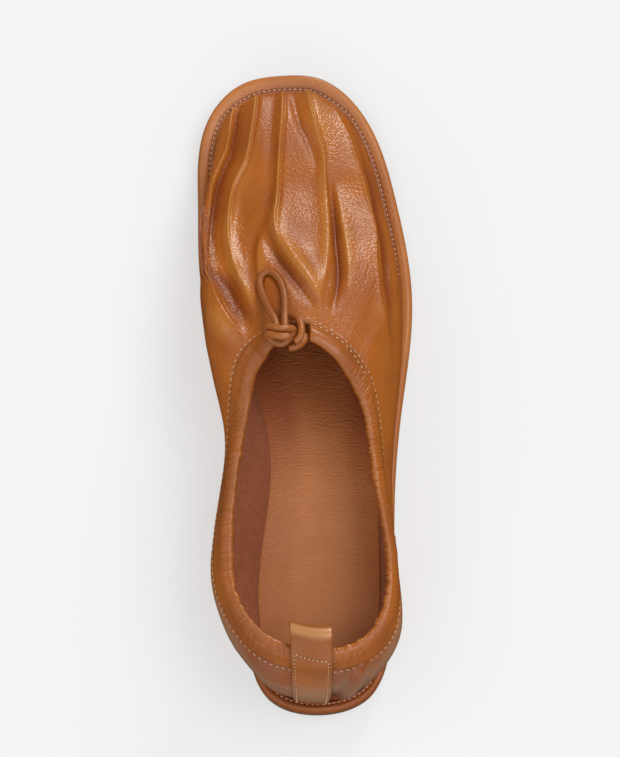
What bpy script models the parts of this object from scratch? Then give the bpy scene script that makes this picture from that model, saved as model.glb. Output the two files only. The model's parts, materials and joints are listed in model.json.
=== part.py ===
"""Ballet flat, right shoe: a gathered leather upper with an elastic collar on a leather-wrapped platform.

Millimetres are used throughout and turned into metres as each mesh is made. The toe points along +Y,
the outer (lateral) side lies at +X, and the shoe stands on Z = 0 with its origin under the middle of
its bounding box.
"""

import math
from collections import namedtuple

import bmesh
import bpy
import numpy as np
from mathutils import Vector

MM = 0.001

# ---------------------------------------------------------------- driving dimensions, in millimetres
GAP = 0.3  # clearance between pieces that touch
WALL = 1.5  # leather and lining of the upper
BAND_WIDTH = 8.3  # folded collar casing, measured across its height
BAND_THICKNESS = 4.4
BORDER_HEEL = 3.9  # width of the rolled border behind the upper
BORDER_SIDE = 5.3  # beside its middle
BORDER_FORE = 6.2  # beside the vamp
BORDER_FRONT = 7.9  # and across the toe
OUTSOLE_HEEL = 4.2  # rubber thickness
OUTSOLE_TOE = 2.7
PLATFORM = 6.3  # height of the rolled border above the outsole
PLATFORM_BED = 5.1  # height of the bed that the upper and insole lie on
FEATHER_LIFT = 1.05  # the upper's lower edge above the bed
INSOLE = 2.4
INSOLE_CLEAR = 2.2  # the insole's edge inside the upper's wall
SPINE_HEEL = 1.6  # a plate's middle line runs from here to there, counted in sections from the heel
SPINE_TOE = 7.8
UPPER_CLEAR = 0.2  # the upper's foot inside the rolled border
TOE_SPRING = 7.0
ARCH_LIFT = 2.4
CORD = 2.8  # drawstring diameter
TAB_THICKNESS = 1.3
TAB_MIDDLE = -3.9  # the pull tab's middle line lies on the inner side of the heel's
TAB_LIFT = GAP + TAB_THICKNESS / 2

# One row for each section round the shoe, from the heel along the outer side to the toe and back along
# the inner side. edge: the border's outer edge; seam: where the collar casing is sewn on; rim: the
# casing's top, in plan; rise, flare: the wall's first handle, up and out; reach: its handle at the seam.
Section = namedtuple(
    "Section", "name edge_x edge_y seam_x seam_y seam_z rim_x rim_y rise flare reach"
)
SECTIONS = (
    Section("heel_centre", 0.0, 0.0, -0.5, 10.6, 42.8, -1.2, 17.3, 14, 1.5, 13),
    Section("heel_side_lateral", 19.8, 6.6, 15.3, 13.4, 42.2, 12.9, 19.8, 13, 1.5, 13),
    Section("heel_corner_lateral", 28.8, 30.0, 27.7, 25.4, 40.4, 22.6, 29.0, 11, 2.5, 12),
    Section("quarter_lateral", 31.0, 58.0, 30.2, 50.0, 37.2, 27.4, 50.0, 9, 2.0, 10),
    Section("waist_lateral", 32.4, 88.0, 27.4, 81.0, 35.7, 24.0, 80.0, 9, 3.0, 12),
    Section("instep_lateral", 36.4, 121.0, 26.0, 99.0, 38.2, 22.0, 97.5, 10, 3.0, 18),
    Section("ball_lateral", 42.4, 165.0, 23.0, 121.0, 45.2, 18.3, 115.0, 12, 1.5, 32),
    Section("vamp_lateral", 37.5, 209.0, 16.0, 133.4, 50.8, 12.3, 126.3, 12, 0.0, 46),
    Section("toe_corner_lateral", 22.5, 248.5, 8.6, 140.2, 53.4, 6.3, 132.9, 10, -1.0, 56),
    Section("toe_front_lateral", 8.5, 259.4, 1.0, 144.4, 54.4, 0.4, 136.8, 8, -1.5, 58),
    Section("toe_centre", -7.0, 261.0, -6.0, 145.8, 54.8, -5.2, 138.2, 8, -2.0, 58),
    Section("toe_front_medial", -23.5, 257.9, -12.2, 144.8, 54.4, -10.0, 137.9, 8, -1.5, 57),
    Section("toe_corner_medial", -37.0, 244.6, -18.2, 141.6, 53.4, -14.8, 135.4, 10, -1.0, 54),
    Section("vamp_medial", -42.4, 209.0, -24.6, 136.6, 51.6, -18.6, 130.4, 12, -0.5, 44),
    Section("ball_medial", -41.8, 174.0, -28.7, 130.6, 48.4, -22.0, 125.2, 12, 0.5, 32),
    Section("instep_medial", -31.5, 139.0, -31.3, 117.0, 42.6, -24.8, 113.8, 10, 6.0, 18),
    Section("waist_medial", -22.6, 101.0, -34.0, 95.0, 37.4, -29.2, 95.0, 8, 7.0, 9),
    Section("quarter_medial", -27.2, 62.0, -39.4, 60.0, 36.7, -33.2, 60.0, 9, 5.5, 9),
    Section("heel_corner_medial", -28.0, 29.0, -35.4, 33.6, 39.4, -29.6, 35.0, 11, 3.5, 12),
    Section("heel_side_medial", -19.8, 6.4, -20.9, 15.7, 41.8, -17.6, 22.0, 13, 1.5, 13),
)
# The pull tab's path from the platform up the back wall: the share of the wall's height, and its width.
TabOnWall = namedtuple("TabOnWall", "share width")
TAB_ON_WALL = (
    TabOnWall(0.09, 13.0),
    TabOnWall(0.22, 13.4),
    TabOnWall(0.36, 13.8),
    TabOnWall(0.50, 14.2),
    TabOnWall(0.64, 14.6),
    TabOnWall(0.78, 15.0),
    TabOnWall(0.90, 15.3),
)
# Then over the casing, out into the opening, back and down inside: up and out from the casing's centre.
TabOverCasing = namedtuple("TabOverCasing", "up out width")
TAB_OVER_CASING = (
    TabOverCasing(-4.6, 2.0, 15.6),
    TabOverCasing(-2.6, 2.9, 15.8),
    TabOverCasing(0.0, 3.2, 16.0),
    TabOverCasing(3.2, 3.1, 16.0),
    TabOverCasing(6.6, 2.9, 16.0),
    TabOverCasing(10.0, 2.6, 16.0),
    TabOverCasing(12.8, 1.6, 16.0),
    TabOverCasing(14.4, -0.8, 16.0),
    TabOverCasing(14.0, -3.8, 16.0),
    TabOverCasing(11.4, -5.6, 16.0),
    TabOverCasing(7.8, -5.4, 15.6),
    TabOverCasing(4.0, -4.4, 15.2),
    TabOverCasing(0.0, -3.3, 15.0),
    TabOverCasing(-3.6, -2.9, 15.0),
)
TAB_INSIDE = (TabOnWall(0.90, 15.0), TabOnWall(0.80, 15.0), TabOnWall(0.70, 15.0))
# The drawstring's routes round its knot: across, towards the toe and up, from the knot's base.
KNOT_BASE = Vector((-9.4, 140.6, 57.0))
KNOT_SLOPE = 22.0  # degrees the vamp falls away towards the toe
TURN_ACROSS = 4.9  # half sizes of the two turns round the loop's strands
TURN_UP = 3.5
TURN_PITCH = 3.8
TURN_HEIGHT = 5.1
TURN_AHEAD = -4.6  # where the first turn crosses over the strands
TURN_STEPS = 24  # points to one and a half turns
MOUTH_ROUTE = ((-4.9, -1.6, -1.2), (-5.1, -2.0, 0.7))
BIGHT_ROUTE = (
    (1.2, 6.4, 1.4),
    (2.9, 5.9, 2.8),
    (4.5, 3.7, 4.1),
    (5.4, 0.3, 4.7),
    (5.5, -3.4, 4.7),
    (4.6, -6.1, 4.2),
    (2.6, -7.7, 3.5),
)
TAIL_ROUTE = (
    (6.6, -0.4, -0.9),
    (6.8, -2.4, -0.4),
    (6.1, -4.7, 0.2),
    (4.4, -6.6, 0.4),
    (2.4, -7.4, 0.2),
    (0.6, -7.2, -0.6),
)
LOOP_ROUTE = (
    (-3.9, -5.0, 5.0),
    (-4.0, -1.0, 5.0),
    (-4.6, 3.0, 4.7),
    (-5.8, 6.8, 3.8),
    (-7.3, 12.0, 2.3),
    (-8.8, 18.6, 0.5),
    (-9.7, 24.0, -0.5),
    (-9.4, 27.6, -0.6),
    (-8.1, 29.6, -0.2),
    (-6.1, 29.9, 0.4),
    (-4.1, 28.3, 1.0),
    (-2.1, 24.8, 1.6),
    (-0.8, 19.8, 2.2),
    (-0.3, 14.0, 2.9),
    (-0.4, 8.6, 3.9),
    (-0.7, 3.5, 4.8),
    (-0.7, -1.0, 5.0),
    (-0.7, -5.0, 5.0),
)
# Mesh columns between each section and the next, the same on both sides.
HALF_COLUMNS = (4, 4, 4, 4, 4, 4, 5, 5, 4, 4)
COLUMNS_BETWEEN = HALF_COLUMNS + HALF_COLUMNS[::-1]
WALL_ROWS = 12

LENGTH = max(row.edge_y for row in SECTIONS)


# ---------------------------------------------------------------- curves and surfaces
def closed_spline(knots, values):
    """A smooth periodic curve through values at knots; the last knot is the first one again."""
    steps = np.diff(knots)
    before = np.roll(steps, 1)
    rises = (np.roll(values, -1, axis=0) - values) / steps[:, None]
    count = len(values)
    matrix = np.zeros((count, count))
    for i in range(count):
        matrix[i, i - 1] += before[i]
        matrix[i, i] += 2 * (before[i] + steps[i])
        matrix[i, (i + 1) % count] += steps[i]
    bends = np.linalg.solve(matrix, 6 * (rises - np.roll(rises, 1, axis=0)))

    def at(s):
        s = s % knots[-1]
        i = min(int(np.searchsorted(knots, s, side="right")) - 1, count - 1)
        j = (i + 1) % count
        h = steps[i]
        a = (knots[i + 1] - s) / h
        b = 1 - a
        curve = ((a**3 - a) * bends[i] + (b**3 - b) * bends[j]) * h * h / 6
        return a * values[i] + b * values[j] + curve

    return at


TABLE = np.array([row[1:] for row in SECTIONS], float)
EDGE_STEPS = np.linalg.norm(np.roll(TABLE[:, :2], -1, axis=0) - TABLE[:, :2], axis=1)
KNOTS = np.concatenate([[0.0], np.cumsum(EDGE_STEPS)])
section_spline = closed_spline(KNOTS, TABLE)
# Distances round the outline of the casing's two ends, on the inner and the outer side of the throat.
CASING_START = KNOTS[11] + 17.0
CASING_END = KNOTS[9] + 4.0 + KNOTS[-1]


def section_at(s):
    """The section at a distance s round the outline."""
    return Section("", *section_spline(s))


def stations(scale=1):
    """Distances round the outline of the mesh's columns, closed by the first one again."""
    found = []
    for i, count in enumerate(COLUMNS_BETWEEN):
        found += list(np.linspace(KNOTS[i], KNOTS[i + 1], count * scale, endpoint=False))
    return np.array(found + [KNOTS[-1]])


def smooth_step(x):
    x = min(max(x, 0.0), 1.0)
    return x * x * (3 - 2 * x)


def ground(y):
    """Height of the outsole's underside: flat heel, low arch, flat forefoot and toe spring."""
    arch = smooth_step((y - 58) / 40) * smooth_step((152 - y) / 44)
    spring = max(y - 196, 0) / (LENGTH - 196)
    return ARCH_LIFT * arch + TOE_SPRING * spring**1.7


def outsole_thickness(y):
    return OUTSOLE_HEEL + (OUTSOLE_TOE - OUTSOLE_HEEL) * smooth_step((y - 40) / 100)


def platform_floor(y):
    return ground(y) + outsole_thickness(y) + GAP


def bed(y):
    """Height of the platform's bed."""
    return platform_floor(y) + PLATFORM_BED


def border_width(y):
    sides = (BORDER_SIDE - BORDER_HEEL) * smooth_step((y - 30) / 110)
    fore = (BORDER_FORE - BORDER_SIDE) * smooth_step((y - 120) / 60)
    front = (BORDER_FRONT - BORDER_FORE) * smooth_step((y - 244) / 14)
    return BORDER_HEEL + sides + fore + front


def edge_point(s, inset=0.0):
    """A point in plan on the outline, moved inwards by inset."""
    row = section_at(s)
    ahead, behind = section_at(s + 0.05), section_at(s - 0.05)
    along = Vector((ahead.edge_x - behind.edge_x, ahead.edge_y - behind.edge_y)).normalized()
    inward = Vector((-along.y, along.x))
    return Vector((row.edge_x, row.edge_y)) + inward * inset


def spine_point(s):
    """The point midway between the two sides, where a plate's two halves meet."""
    i = min(int(np.searchsorted(KNOTS, s, side="right")) - 1, len(SECTIONS) - 1)
    place = i + (s - KNOTS[i]) / (KNOTS[i + 1] - KNOTS[i])
    place = min(place, len(SECTIONS) - place)
    place = min(max(place, SPINE_HEEL), SPINE_TOE)
    whole = int(place)
    share = place - whole
    last = len(SECTIONS) - whole
    outer = KNOTS[whole] + share * (KNOTS[whole + 1] - KNOTS[whole])
    inner = KNOTS[last] - share * (KNOTS[last] - KNOTS[last - 1])
    return (edge_point(outer) + edge_point(inner)) / 2


def seam_and_rim(s):
    """The casing's lower and upper line at s, BAND_WIDTH apart."""
    row = section_at(s)
    across = math.hypot(row.rim_x - row.seam_x, row.rim_y - row.seam_y)
    up = math.sqrt(max(BAND_WIDTH**2 - across**2, 1.0))
    return (
        Vector((row.seam_x, row.seam_y, row.seam_z)),
        Vector((row.rim_x, row.rim_y, row.seam_z + up)),
    )


def upper_point(s, v):
    """A point on the upper's outer surface: v = 0 at the sole, 1 at the collar seam."""
    row = section_at(s)
    foot = edge_point(s, border_width(row.edge_y) + UPPER_CLEAR)
    outward = (edge_point(s) - foot).normalized()
    start = Vector((foot.x, foot.y, bed(foot.y) + FEATHER_LIFT))
    first = start + Vector((outward.x * row.flare, outward.y * row.flare, row.rise))
    end, rim = seam_and_rim(s)
    last = end - (rim - end).normalized() * row.reach
    w = 1 - v
    return start * w**3 + first * 3 * w * w * v + last * 3 * w * v * v + end * v**3


def casing_frame(s):
    """Centre of the collar casing, its half height and half thickness directions."""
    seam, rim = seam_and_rim(s)
    ahead, behind = seam_and_rim(s + 0.5), seam_and_rim(s - 0.5)
    along = (ahead[0] + ahead[1] - behind[0] - behind[1]).normalized()
    height = (rim - seam).normalized()
    outward = along.cross(height).normalized()
    return seam + (rim - seam) * 0.5 + height * GAP, height, outward


def casing_point(s, turn):
    """A point on the casing's skin; turn runs once round it from its outer side over the top."""
    centre, height, outward = casing_frame(s)
    angle = turn * math.tau
    across = math.cos(angle) * BAND_THICKNESS / 2
    up = math.sin(angle) * BAND_WIDTH / 2
    return centre + outward * across + height * up


# ---------------------------------------------------------------- mesh makers
def shaded(obj, material, sharp_degrees=40):
    obj.data.materials.append(material)
    obj.data.shade_smooth()
    obj.data.set_sharp_from_angle(angle=math.radians(sharp_degrees))
    return obj


def as_object(bm, name, collection, weld=1e-6):
    """Welds, faces outwards and links a bmesh whose points are in millimetres, moved to the origin."""
    bmesh.ops.scale(bm, vec=(MM, MM, MM), verts=bm.verts)
    bmesh.ops.translate(bm, vec=ORIGIN_SHIFT * MM, verts=bm.verts)
    bmesh.ops.remove_doubles(bm, verts=bm.verts, dist=weld)
    bmesh.ops.dissolve_degenerate(bm, edges=bm.edges, dist=weld)
    bmesh.ops.recalc_face_normals(bm, faces=bm.faces)
    mesh = bpy.data.meshes.new(name)
    bm.to_mesh(mesh)
    bm.free()
    obj = bpy.data.objects.new(name, mesh)
    collection.objects.link(obj)
    return obj


def bent_grid(columns, rows, place):
    """A grid of columns by rows whose point (i, j) is put at place(i, j)."""
    bm = bmesh.new()
    bmesh.ops.create_grid(bm, x_segments=columns, y_segments=rows, size=0.5)
    for vert in bm.verts:
        i = round((vert.co.x + 0.5) * columns)
        j = round((vert.co.y + 0.5) * rows)
        vert.co = place(i, j)
    return bm


def plate(name, collection, floor, profile, inset_of, inner):
    """A closed plate over the outline.

    profile lists (inset, height) from the bottom edge to the top one; inset_of(inset, y) is the true
    inset at y, and inner is the inset of the ring where the flat faces turn to the spine.
    """
    across = stations()
    low, high = profile[0][1], profile[-1][1]
    levels = [None, (inner, low), *profile, (inner, high), None]

    def place(i, j):
        s = across[i]
        if levels[j] is None:
            point, height = spine_point(s), (low if j == 0 else high)
        else:
            inset, height = levels[j]
            point = edge_point(s, inset_of(inset, section_at(s).edge_y))
        return Vector((point.x, point.y, floor(point.y) + height(point.y)))

    return as_object(bent_grid(len(across) - 1, len(levels) - 1, place), name, collection)


def constant(value):
    return lambda y: value


def as_given(inset, y):
    return inset


def by_border(inset, y):
    """An inset stated for a border of BORDER_SIDE, scaled to the border's width at y."""
    return inset * border_width(y) / BORDER_SIDE


def inside_upper(inset, y):
    return border_width(y) + UPPER_CLEAR + WALL + INSOLE_CLEAR + inset


def build_outsole(collection, material):
    top = outsole_thickness
    profile = [
        (1.3, constant(0.0)),
        (0.4, constant(0.5)),
        (0.2, lambda y: top(y) - 0.4),
        (0.6, top),
    ]
    return shaded(plate("outsole", collection, ground, profile, as_given, 8.0), material)


def build_platform(collection, material):
    rolled = [
        (1.2, 0.0),
        (0.3, 1.1),
        (0.0, 2.8),
        (0.4, 4.6),
        (1.5, 5.9),
        (2.8, PLATFORM),
        (4.2, 6.0),
        (5.0, PLATFORM_BED),
    ]
    profile = [(inset, constant(height)) for inset, height in rolled]
    return shaded(plate("platform", collection, platform_floor, profile, by_border, 9.0), material, 60)


def build_insole(collection, material):
    rounded = [(0.3, 0.0), (0.0, 0.8), (0.5, 1.9), (1.9, INSOLE)]
    profile = [(inset, constant(height + GAP)) for inset, height in rounded]
    return shaded(plate("insole", collection, bed, profile, inside_upper, 6.0), material, 60)


def build_upper(collection, material):
    across = stations()
    bm = bent_grid(len(across) - 1, WALL_ROWS, lambda i, j: upper_point(across[i], j / WALL_ROWS))
    upper = as_object(bm, "upper", collection)
    wall = upper.modifiers.new("wall", "SOLIDIFY")
    wall.thickness = WALL * MM
    wall.offset = -1
    wall.use_even_offset = True
    return shaded(upper, material, 60)


def build_casing(collection, material):
    """The collar casing: a padded tube round the opening, parted at the throat where its cord comes out."""
    columns, sides = 84, 10

    def place(i, j):
        s = CASING_START + (CASING_END - CASING_START) * i / columns
        return casing_point(s, j / sides)

    bm = bent_grid(columns, sides, place)
    bmesh.ops.remove_doubles(bm, verts=bm.verts, dist=1e-4)
    bmesh.ops.holes_fill(bm, edges=[e for e in bm.edges if e.is_boundary])
    return shaded(as_object(bm, "collar_casing", collection), material, 60)


def upper_skin(s, v, out):
    """A point at a distance out from the upper's outer surface."""
    along = upper_point(s + 0.4, v) - upper_point(s - 0.4, v)
    rise = upper_point(s, min(v + 0.02, 1.0)) - upper_point(s, max(v - 0.02, 0.0))
    return upper_point(s, v) + along.cross(rise).normalized() * out


def beside_casing(s, up, out):
    centre, height, outward = casing_frame(s)
    return centre + height * up + outward * out


def at_heel(x, point_at):
    """The point of the curve point_at(s) that lies at x, for s near the heel's centre."""
    low, high = -30.0, 30.0
    for _ in range(24):
        middle = (low + high) / 2
        if point_at(middle).x < x:
            low = middle
        else:
            high = middle
    return point_at(middle)


def build_pull_tab(collection, material):
    """A strip up the back seam that folds over the casing into a loop and ends inside the shoe."""
    columns = 4
    rows = [
        (row.width, lambda s, row=row: upper_skin(s, row.share, TAB_LIFT))
        for row in TAB_ON_WALL
    ]
    rows += [
        (row.width, lambda s, row=row: beside_casing(s, row.up, row.out))
        for row in TAB_OVER_CASING
    ]
    rows += [
        (row.width, lambda s, row=row: upper_skin(s, row.share, -WALL - TAB_LIFT))
        for row in TAB_INSIDE
    ]

    def place(i, j):
        width, point_at = rows[j]
        return at_heel(TAB_MIDDLE + width * (i / columns - 0.5), point_at)

    tab = as_object(bent_grid(columns, len(rows) - 1, place), "pull_tab", collection)
    strip = tab.modifiers.new("strip", "SOLIDIFY")
    strip.thickness = TAB_THICKNESS * MM
    strip.offset = 0
    strip.use_even_offset = True
    return shaded(tab, material)


def smooth_route(route, step):
    """Points about step apart on a smooth curve through the route's own points."""
    ends = [2 * route[0] - route[1], *route, 2 * route[-1] - route[-2]]
    points = []
    for a, b, c, d in zip(ends, ends[1:], ends[2:], ends[3:]):
        count = max(1, round((c - b).length / step))
        for k in range(count):
            t = k / count
            bend = 2 * a - 5 * b + 4 * c - d
            turn = 3 * b - 3 * c + d - a
            points.append(b + ((c - a) * t + bend * t * t + turn * t**3) * 0.5)
    return points + [route[-1]]


def knot_place(point):
    """A point of the knot's own frame, put in the shoe's."""
    across, ahead, up = point
    slope = math.radians(KNOT_SLOPE)
    forward = Vector((0.0, math.cos(slope), -math.sin(slope)))
    upward = Vector((0.0, math.sin(slope), math.cos(slope)))
    return KNOT_BASE + Vector((across, 0.0, 0.0)) + forward * ahead + upward * up


def turns_route():
    """Out of the casing's mouth, then two turns round the loop, the second nearer the heel."""
    points = [Vector(point) for point in MOUTH_ROUTE]
    for k in range(TURN_STEPS + 1):
        angle = math.tau * (1.5 * k / TURN_STEPS - 0.125)
        across = -TURN_ACROSS * math.cos(angle)
        ahead = TURN_AHEAD - TURN_PITCH * (angle / math.tau - 0.25) + 0.11 * across**2
        points.append(Vector((across - 2.5, ahead, TURN_HEIGHT + TURN_UP * math.sin(angle))))
    return points


def build_cord(name, route, step, collection, material):
    curve = bpy.data.curves.new(name, "CURVE")
    curve.dimensions = "3D"
    curve.bevel_depth = CORD / 2 * MM
    curve.bevel_resolution = 2
    curve.use_fill_caps = True
    points = smooth_route([knot_place(point) for point in route], step)
    spline = curve.splines.new("POLY")
    spline.points.add(len(points) - 1)
    for target, point in zip(spline.points, points):
        target.co = (*((point + ORIGIN_SHIFT) * MM), 1.0)
    spline.use_smooth = True
    curve.materials.append(material)
    obj = bpy.data.objects.new(name, curve)
    collection.objects.link(obj)
    return obj


# The origin is under the middle of the box round the shoe.
def bounding_shift():
    outline = [edge_point(s) for s in stations(3)]
    xs = [point.x for point in outline]
    ys = [point.y for point in outline]
    return Vector((-(min(xs) + max(xs)) / 2, -(min(ys) + max(ys)) / 2, 0.0))


ORIGIN_SHIFT = bounding_shift()


def material_of(name, colour, roughness):
    made = bpy.data.materials.new(name)
    made.use_nodes = True
    shader = made.node_tree.nodes["Principled BSDF"]
    shader.inputs["Base Color"].default_value = (*colour, 1.0)
    shader.inputs["Roughness"].default_value = roughness
    return made


def main():
    for obj in list(bpy.data.objects):
        bpy.data.objects.remove(obj, do_unlink=True)
    collection = bpy.data.collections.new("ballet_flat")
    bpy.context.scene.collection.children.link(collection)
    leather = material_of("tan_leather", (0.47, 0.20, 0.06), 0.42)
    insole_leather = material_of("insole_leather", (0.50, 0.24, 0.10), 0.5)
    rubber = material_of("brown_rubber", (0.16, 0.08, 0.04), 0.6)
    build_outsole(collection, rubber)
    build_platform(collection, leather)
    build_insole(collection, insole_leather)
    build_upper(collection, leather)
    build_casing(collection, leather)
    build_pull_tab(collection, leather)
    build_cord("drawstring_turns", turns_route(), 2.2, collection, leather)
    build_cord("drawstring_bight", [Vector(p) for p in BIGHT_ROUTE], 2.0, collection, leather)
    build_cord("drawstring_tail", [Vector(p) for p in TAIL_ROUTE], 2.0, collection, leather)
    build_cord("drawstring_loop", [Vector(p) for p in LOOP_ROUTE], 2.0, collection, leather)


main()
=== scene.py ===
"""Looks of a ballet flat, right shoe: gathered tan leather on a wrapped platform, with a cord at its throat.

Sizes are in millimetres from the heel's end, as a pattern cutter would take them, and every mesh is put
in the shoe's own frame in metres as it is made. The toe points along +Y and the outer side lies at +X.
"""

import itertools
import json
import logging
import math
from collections.abc import Callable, Sequence
from dataclasses import astuple, dataclass, field
from enum import Enum

import bmesh
import bpy
import numpy as np
from mathutils import Matrix, Vector
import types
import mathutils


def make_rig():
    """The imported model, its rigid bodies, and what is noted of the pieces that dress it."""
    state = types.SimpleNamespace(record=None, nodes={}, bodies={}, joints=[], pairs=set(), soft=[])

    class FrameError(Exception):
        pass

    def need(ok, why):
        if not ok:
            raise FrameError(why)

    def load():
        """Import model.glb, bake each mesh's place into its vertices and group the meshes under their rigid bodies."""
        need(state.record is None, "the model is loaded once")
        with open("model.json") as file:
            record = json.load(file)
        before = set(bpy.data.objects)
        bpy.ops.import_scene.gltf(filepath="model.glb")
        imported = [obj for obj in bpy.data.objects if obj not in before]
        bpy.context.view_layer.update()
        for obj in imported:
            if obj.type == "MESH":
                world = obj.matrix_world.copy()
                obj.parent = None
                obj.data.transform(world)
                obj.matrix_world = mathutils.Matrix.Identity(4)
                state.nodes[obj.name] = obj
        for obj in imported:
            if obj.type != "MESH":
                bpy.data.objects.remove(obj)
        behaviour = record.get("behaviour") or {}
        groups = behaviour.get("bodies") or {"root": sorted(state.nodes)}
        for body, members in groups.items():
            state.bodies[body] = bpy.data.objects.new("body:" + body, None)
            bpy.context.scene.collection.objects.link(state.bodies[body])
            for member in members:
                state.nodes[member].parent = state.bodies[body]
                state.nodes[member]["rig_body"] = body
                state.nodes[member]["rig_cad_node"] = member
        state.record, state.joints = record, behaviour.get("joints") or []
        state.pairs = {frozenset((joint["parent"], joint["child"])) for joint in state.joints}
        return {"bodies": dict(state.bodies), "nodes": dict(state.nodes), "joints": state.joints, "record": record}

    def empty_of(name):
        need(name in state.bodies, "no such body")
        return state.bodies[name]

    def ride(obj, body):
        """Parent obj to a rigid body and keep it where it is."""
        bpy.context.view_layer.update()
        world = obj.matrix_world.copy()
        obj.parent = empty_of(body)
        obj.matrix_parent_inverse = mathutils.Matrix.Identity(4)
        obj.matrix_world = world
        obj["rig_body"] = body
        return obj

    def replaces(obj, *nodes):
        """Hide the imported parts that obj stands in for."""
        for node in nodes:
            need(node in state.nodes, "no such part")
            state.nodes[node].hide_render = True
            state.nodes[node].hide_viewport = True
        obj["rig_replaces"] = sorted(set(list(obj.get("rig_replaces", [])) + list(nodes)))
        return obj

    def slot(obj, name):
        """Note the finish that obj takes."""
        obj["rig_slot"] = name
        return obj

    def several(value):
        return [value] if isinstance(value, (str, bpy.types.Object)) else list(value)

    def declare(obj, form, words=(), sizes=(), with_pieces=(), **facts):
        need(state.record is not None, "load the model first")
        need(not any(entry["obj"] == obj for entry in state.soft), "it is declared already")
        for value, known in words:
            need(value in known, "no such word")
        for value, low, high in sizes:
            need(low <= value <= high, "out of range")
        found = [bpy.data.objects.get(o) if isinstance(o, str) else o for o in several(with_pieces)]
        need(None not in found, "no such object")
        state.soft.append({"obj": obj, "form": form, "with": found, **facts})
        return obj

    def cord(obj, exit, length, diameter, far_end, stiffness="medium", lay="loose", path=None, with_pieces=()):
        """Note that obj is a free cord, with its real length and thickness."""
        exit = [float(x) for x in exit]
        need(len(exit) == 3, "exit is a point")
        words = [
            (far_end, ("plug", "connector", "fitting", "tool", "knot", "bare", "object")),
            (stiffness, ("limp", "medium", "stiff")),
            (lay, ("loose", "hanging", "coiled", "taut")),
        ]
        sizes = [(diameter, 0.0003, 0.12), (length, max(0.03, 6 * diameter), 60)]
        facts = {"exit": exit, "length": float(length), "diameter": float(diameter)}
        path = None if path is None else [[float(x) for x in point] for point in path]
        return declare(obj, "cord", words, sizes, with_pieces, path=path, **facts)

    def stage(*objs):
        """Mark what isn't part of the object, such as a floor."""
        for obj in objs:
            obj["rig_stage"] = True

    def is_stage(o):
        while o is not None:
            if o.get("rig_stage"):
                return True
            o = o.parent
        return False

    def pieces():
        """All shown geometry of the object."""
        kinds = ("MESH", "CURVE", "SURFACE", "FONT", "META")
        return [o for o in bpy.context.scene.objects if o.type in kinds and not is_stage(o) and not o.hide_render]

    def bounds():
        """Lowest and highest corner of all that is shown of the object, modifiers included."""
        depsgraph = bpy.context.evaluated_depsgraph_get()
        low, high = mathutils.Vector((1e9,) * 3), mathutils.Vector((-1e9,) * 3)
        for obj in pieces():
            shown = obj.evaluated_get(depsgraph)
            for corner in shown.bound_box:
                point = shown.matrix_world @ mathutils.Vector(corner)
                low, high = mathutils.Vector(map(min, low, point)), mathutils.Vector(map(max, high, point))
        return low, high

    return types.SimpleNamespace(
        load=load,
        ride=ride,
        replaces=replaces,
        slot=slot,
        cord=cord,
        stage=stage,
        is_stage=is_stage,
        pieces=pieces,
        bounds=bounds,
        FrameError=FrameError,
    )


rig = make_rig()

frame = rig.load()
CAD_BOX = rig.bounds()

logging.basicConfig(level=logging.INFO, format="%(message)s")
log = logging.getLogger("ballet_flat")

MM = 0.001
BATCH = 4_000_000
Points = np.ndarray
Triple = tuple[float, float, float]
Route = tuple[tuple[float, ...], ...]
Place = Callable[[np.ndarray, np.ndarray], Points]


# ---------------------------------------------------------------- the shoe's form
@dataclass(frozen=True)
class Section:
    """One station round the sole.

    edge is the border's outer edge, seam the line where the collar casing is sewn on and rim the casing's
    top, in plan; rise and flare lift the wall's foot, and reach is how far the wall runs flat to the seam.
    """

    name: str
    edge_x: float
    edge_y: float
    seam_x: float
    seam_y: float
    seam_z: float
    rim_x: float
    rim_y: float
    rise: float
    flare: float
    reach: float


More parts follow.
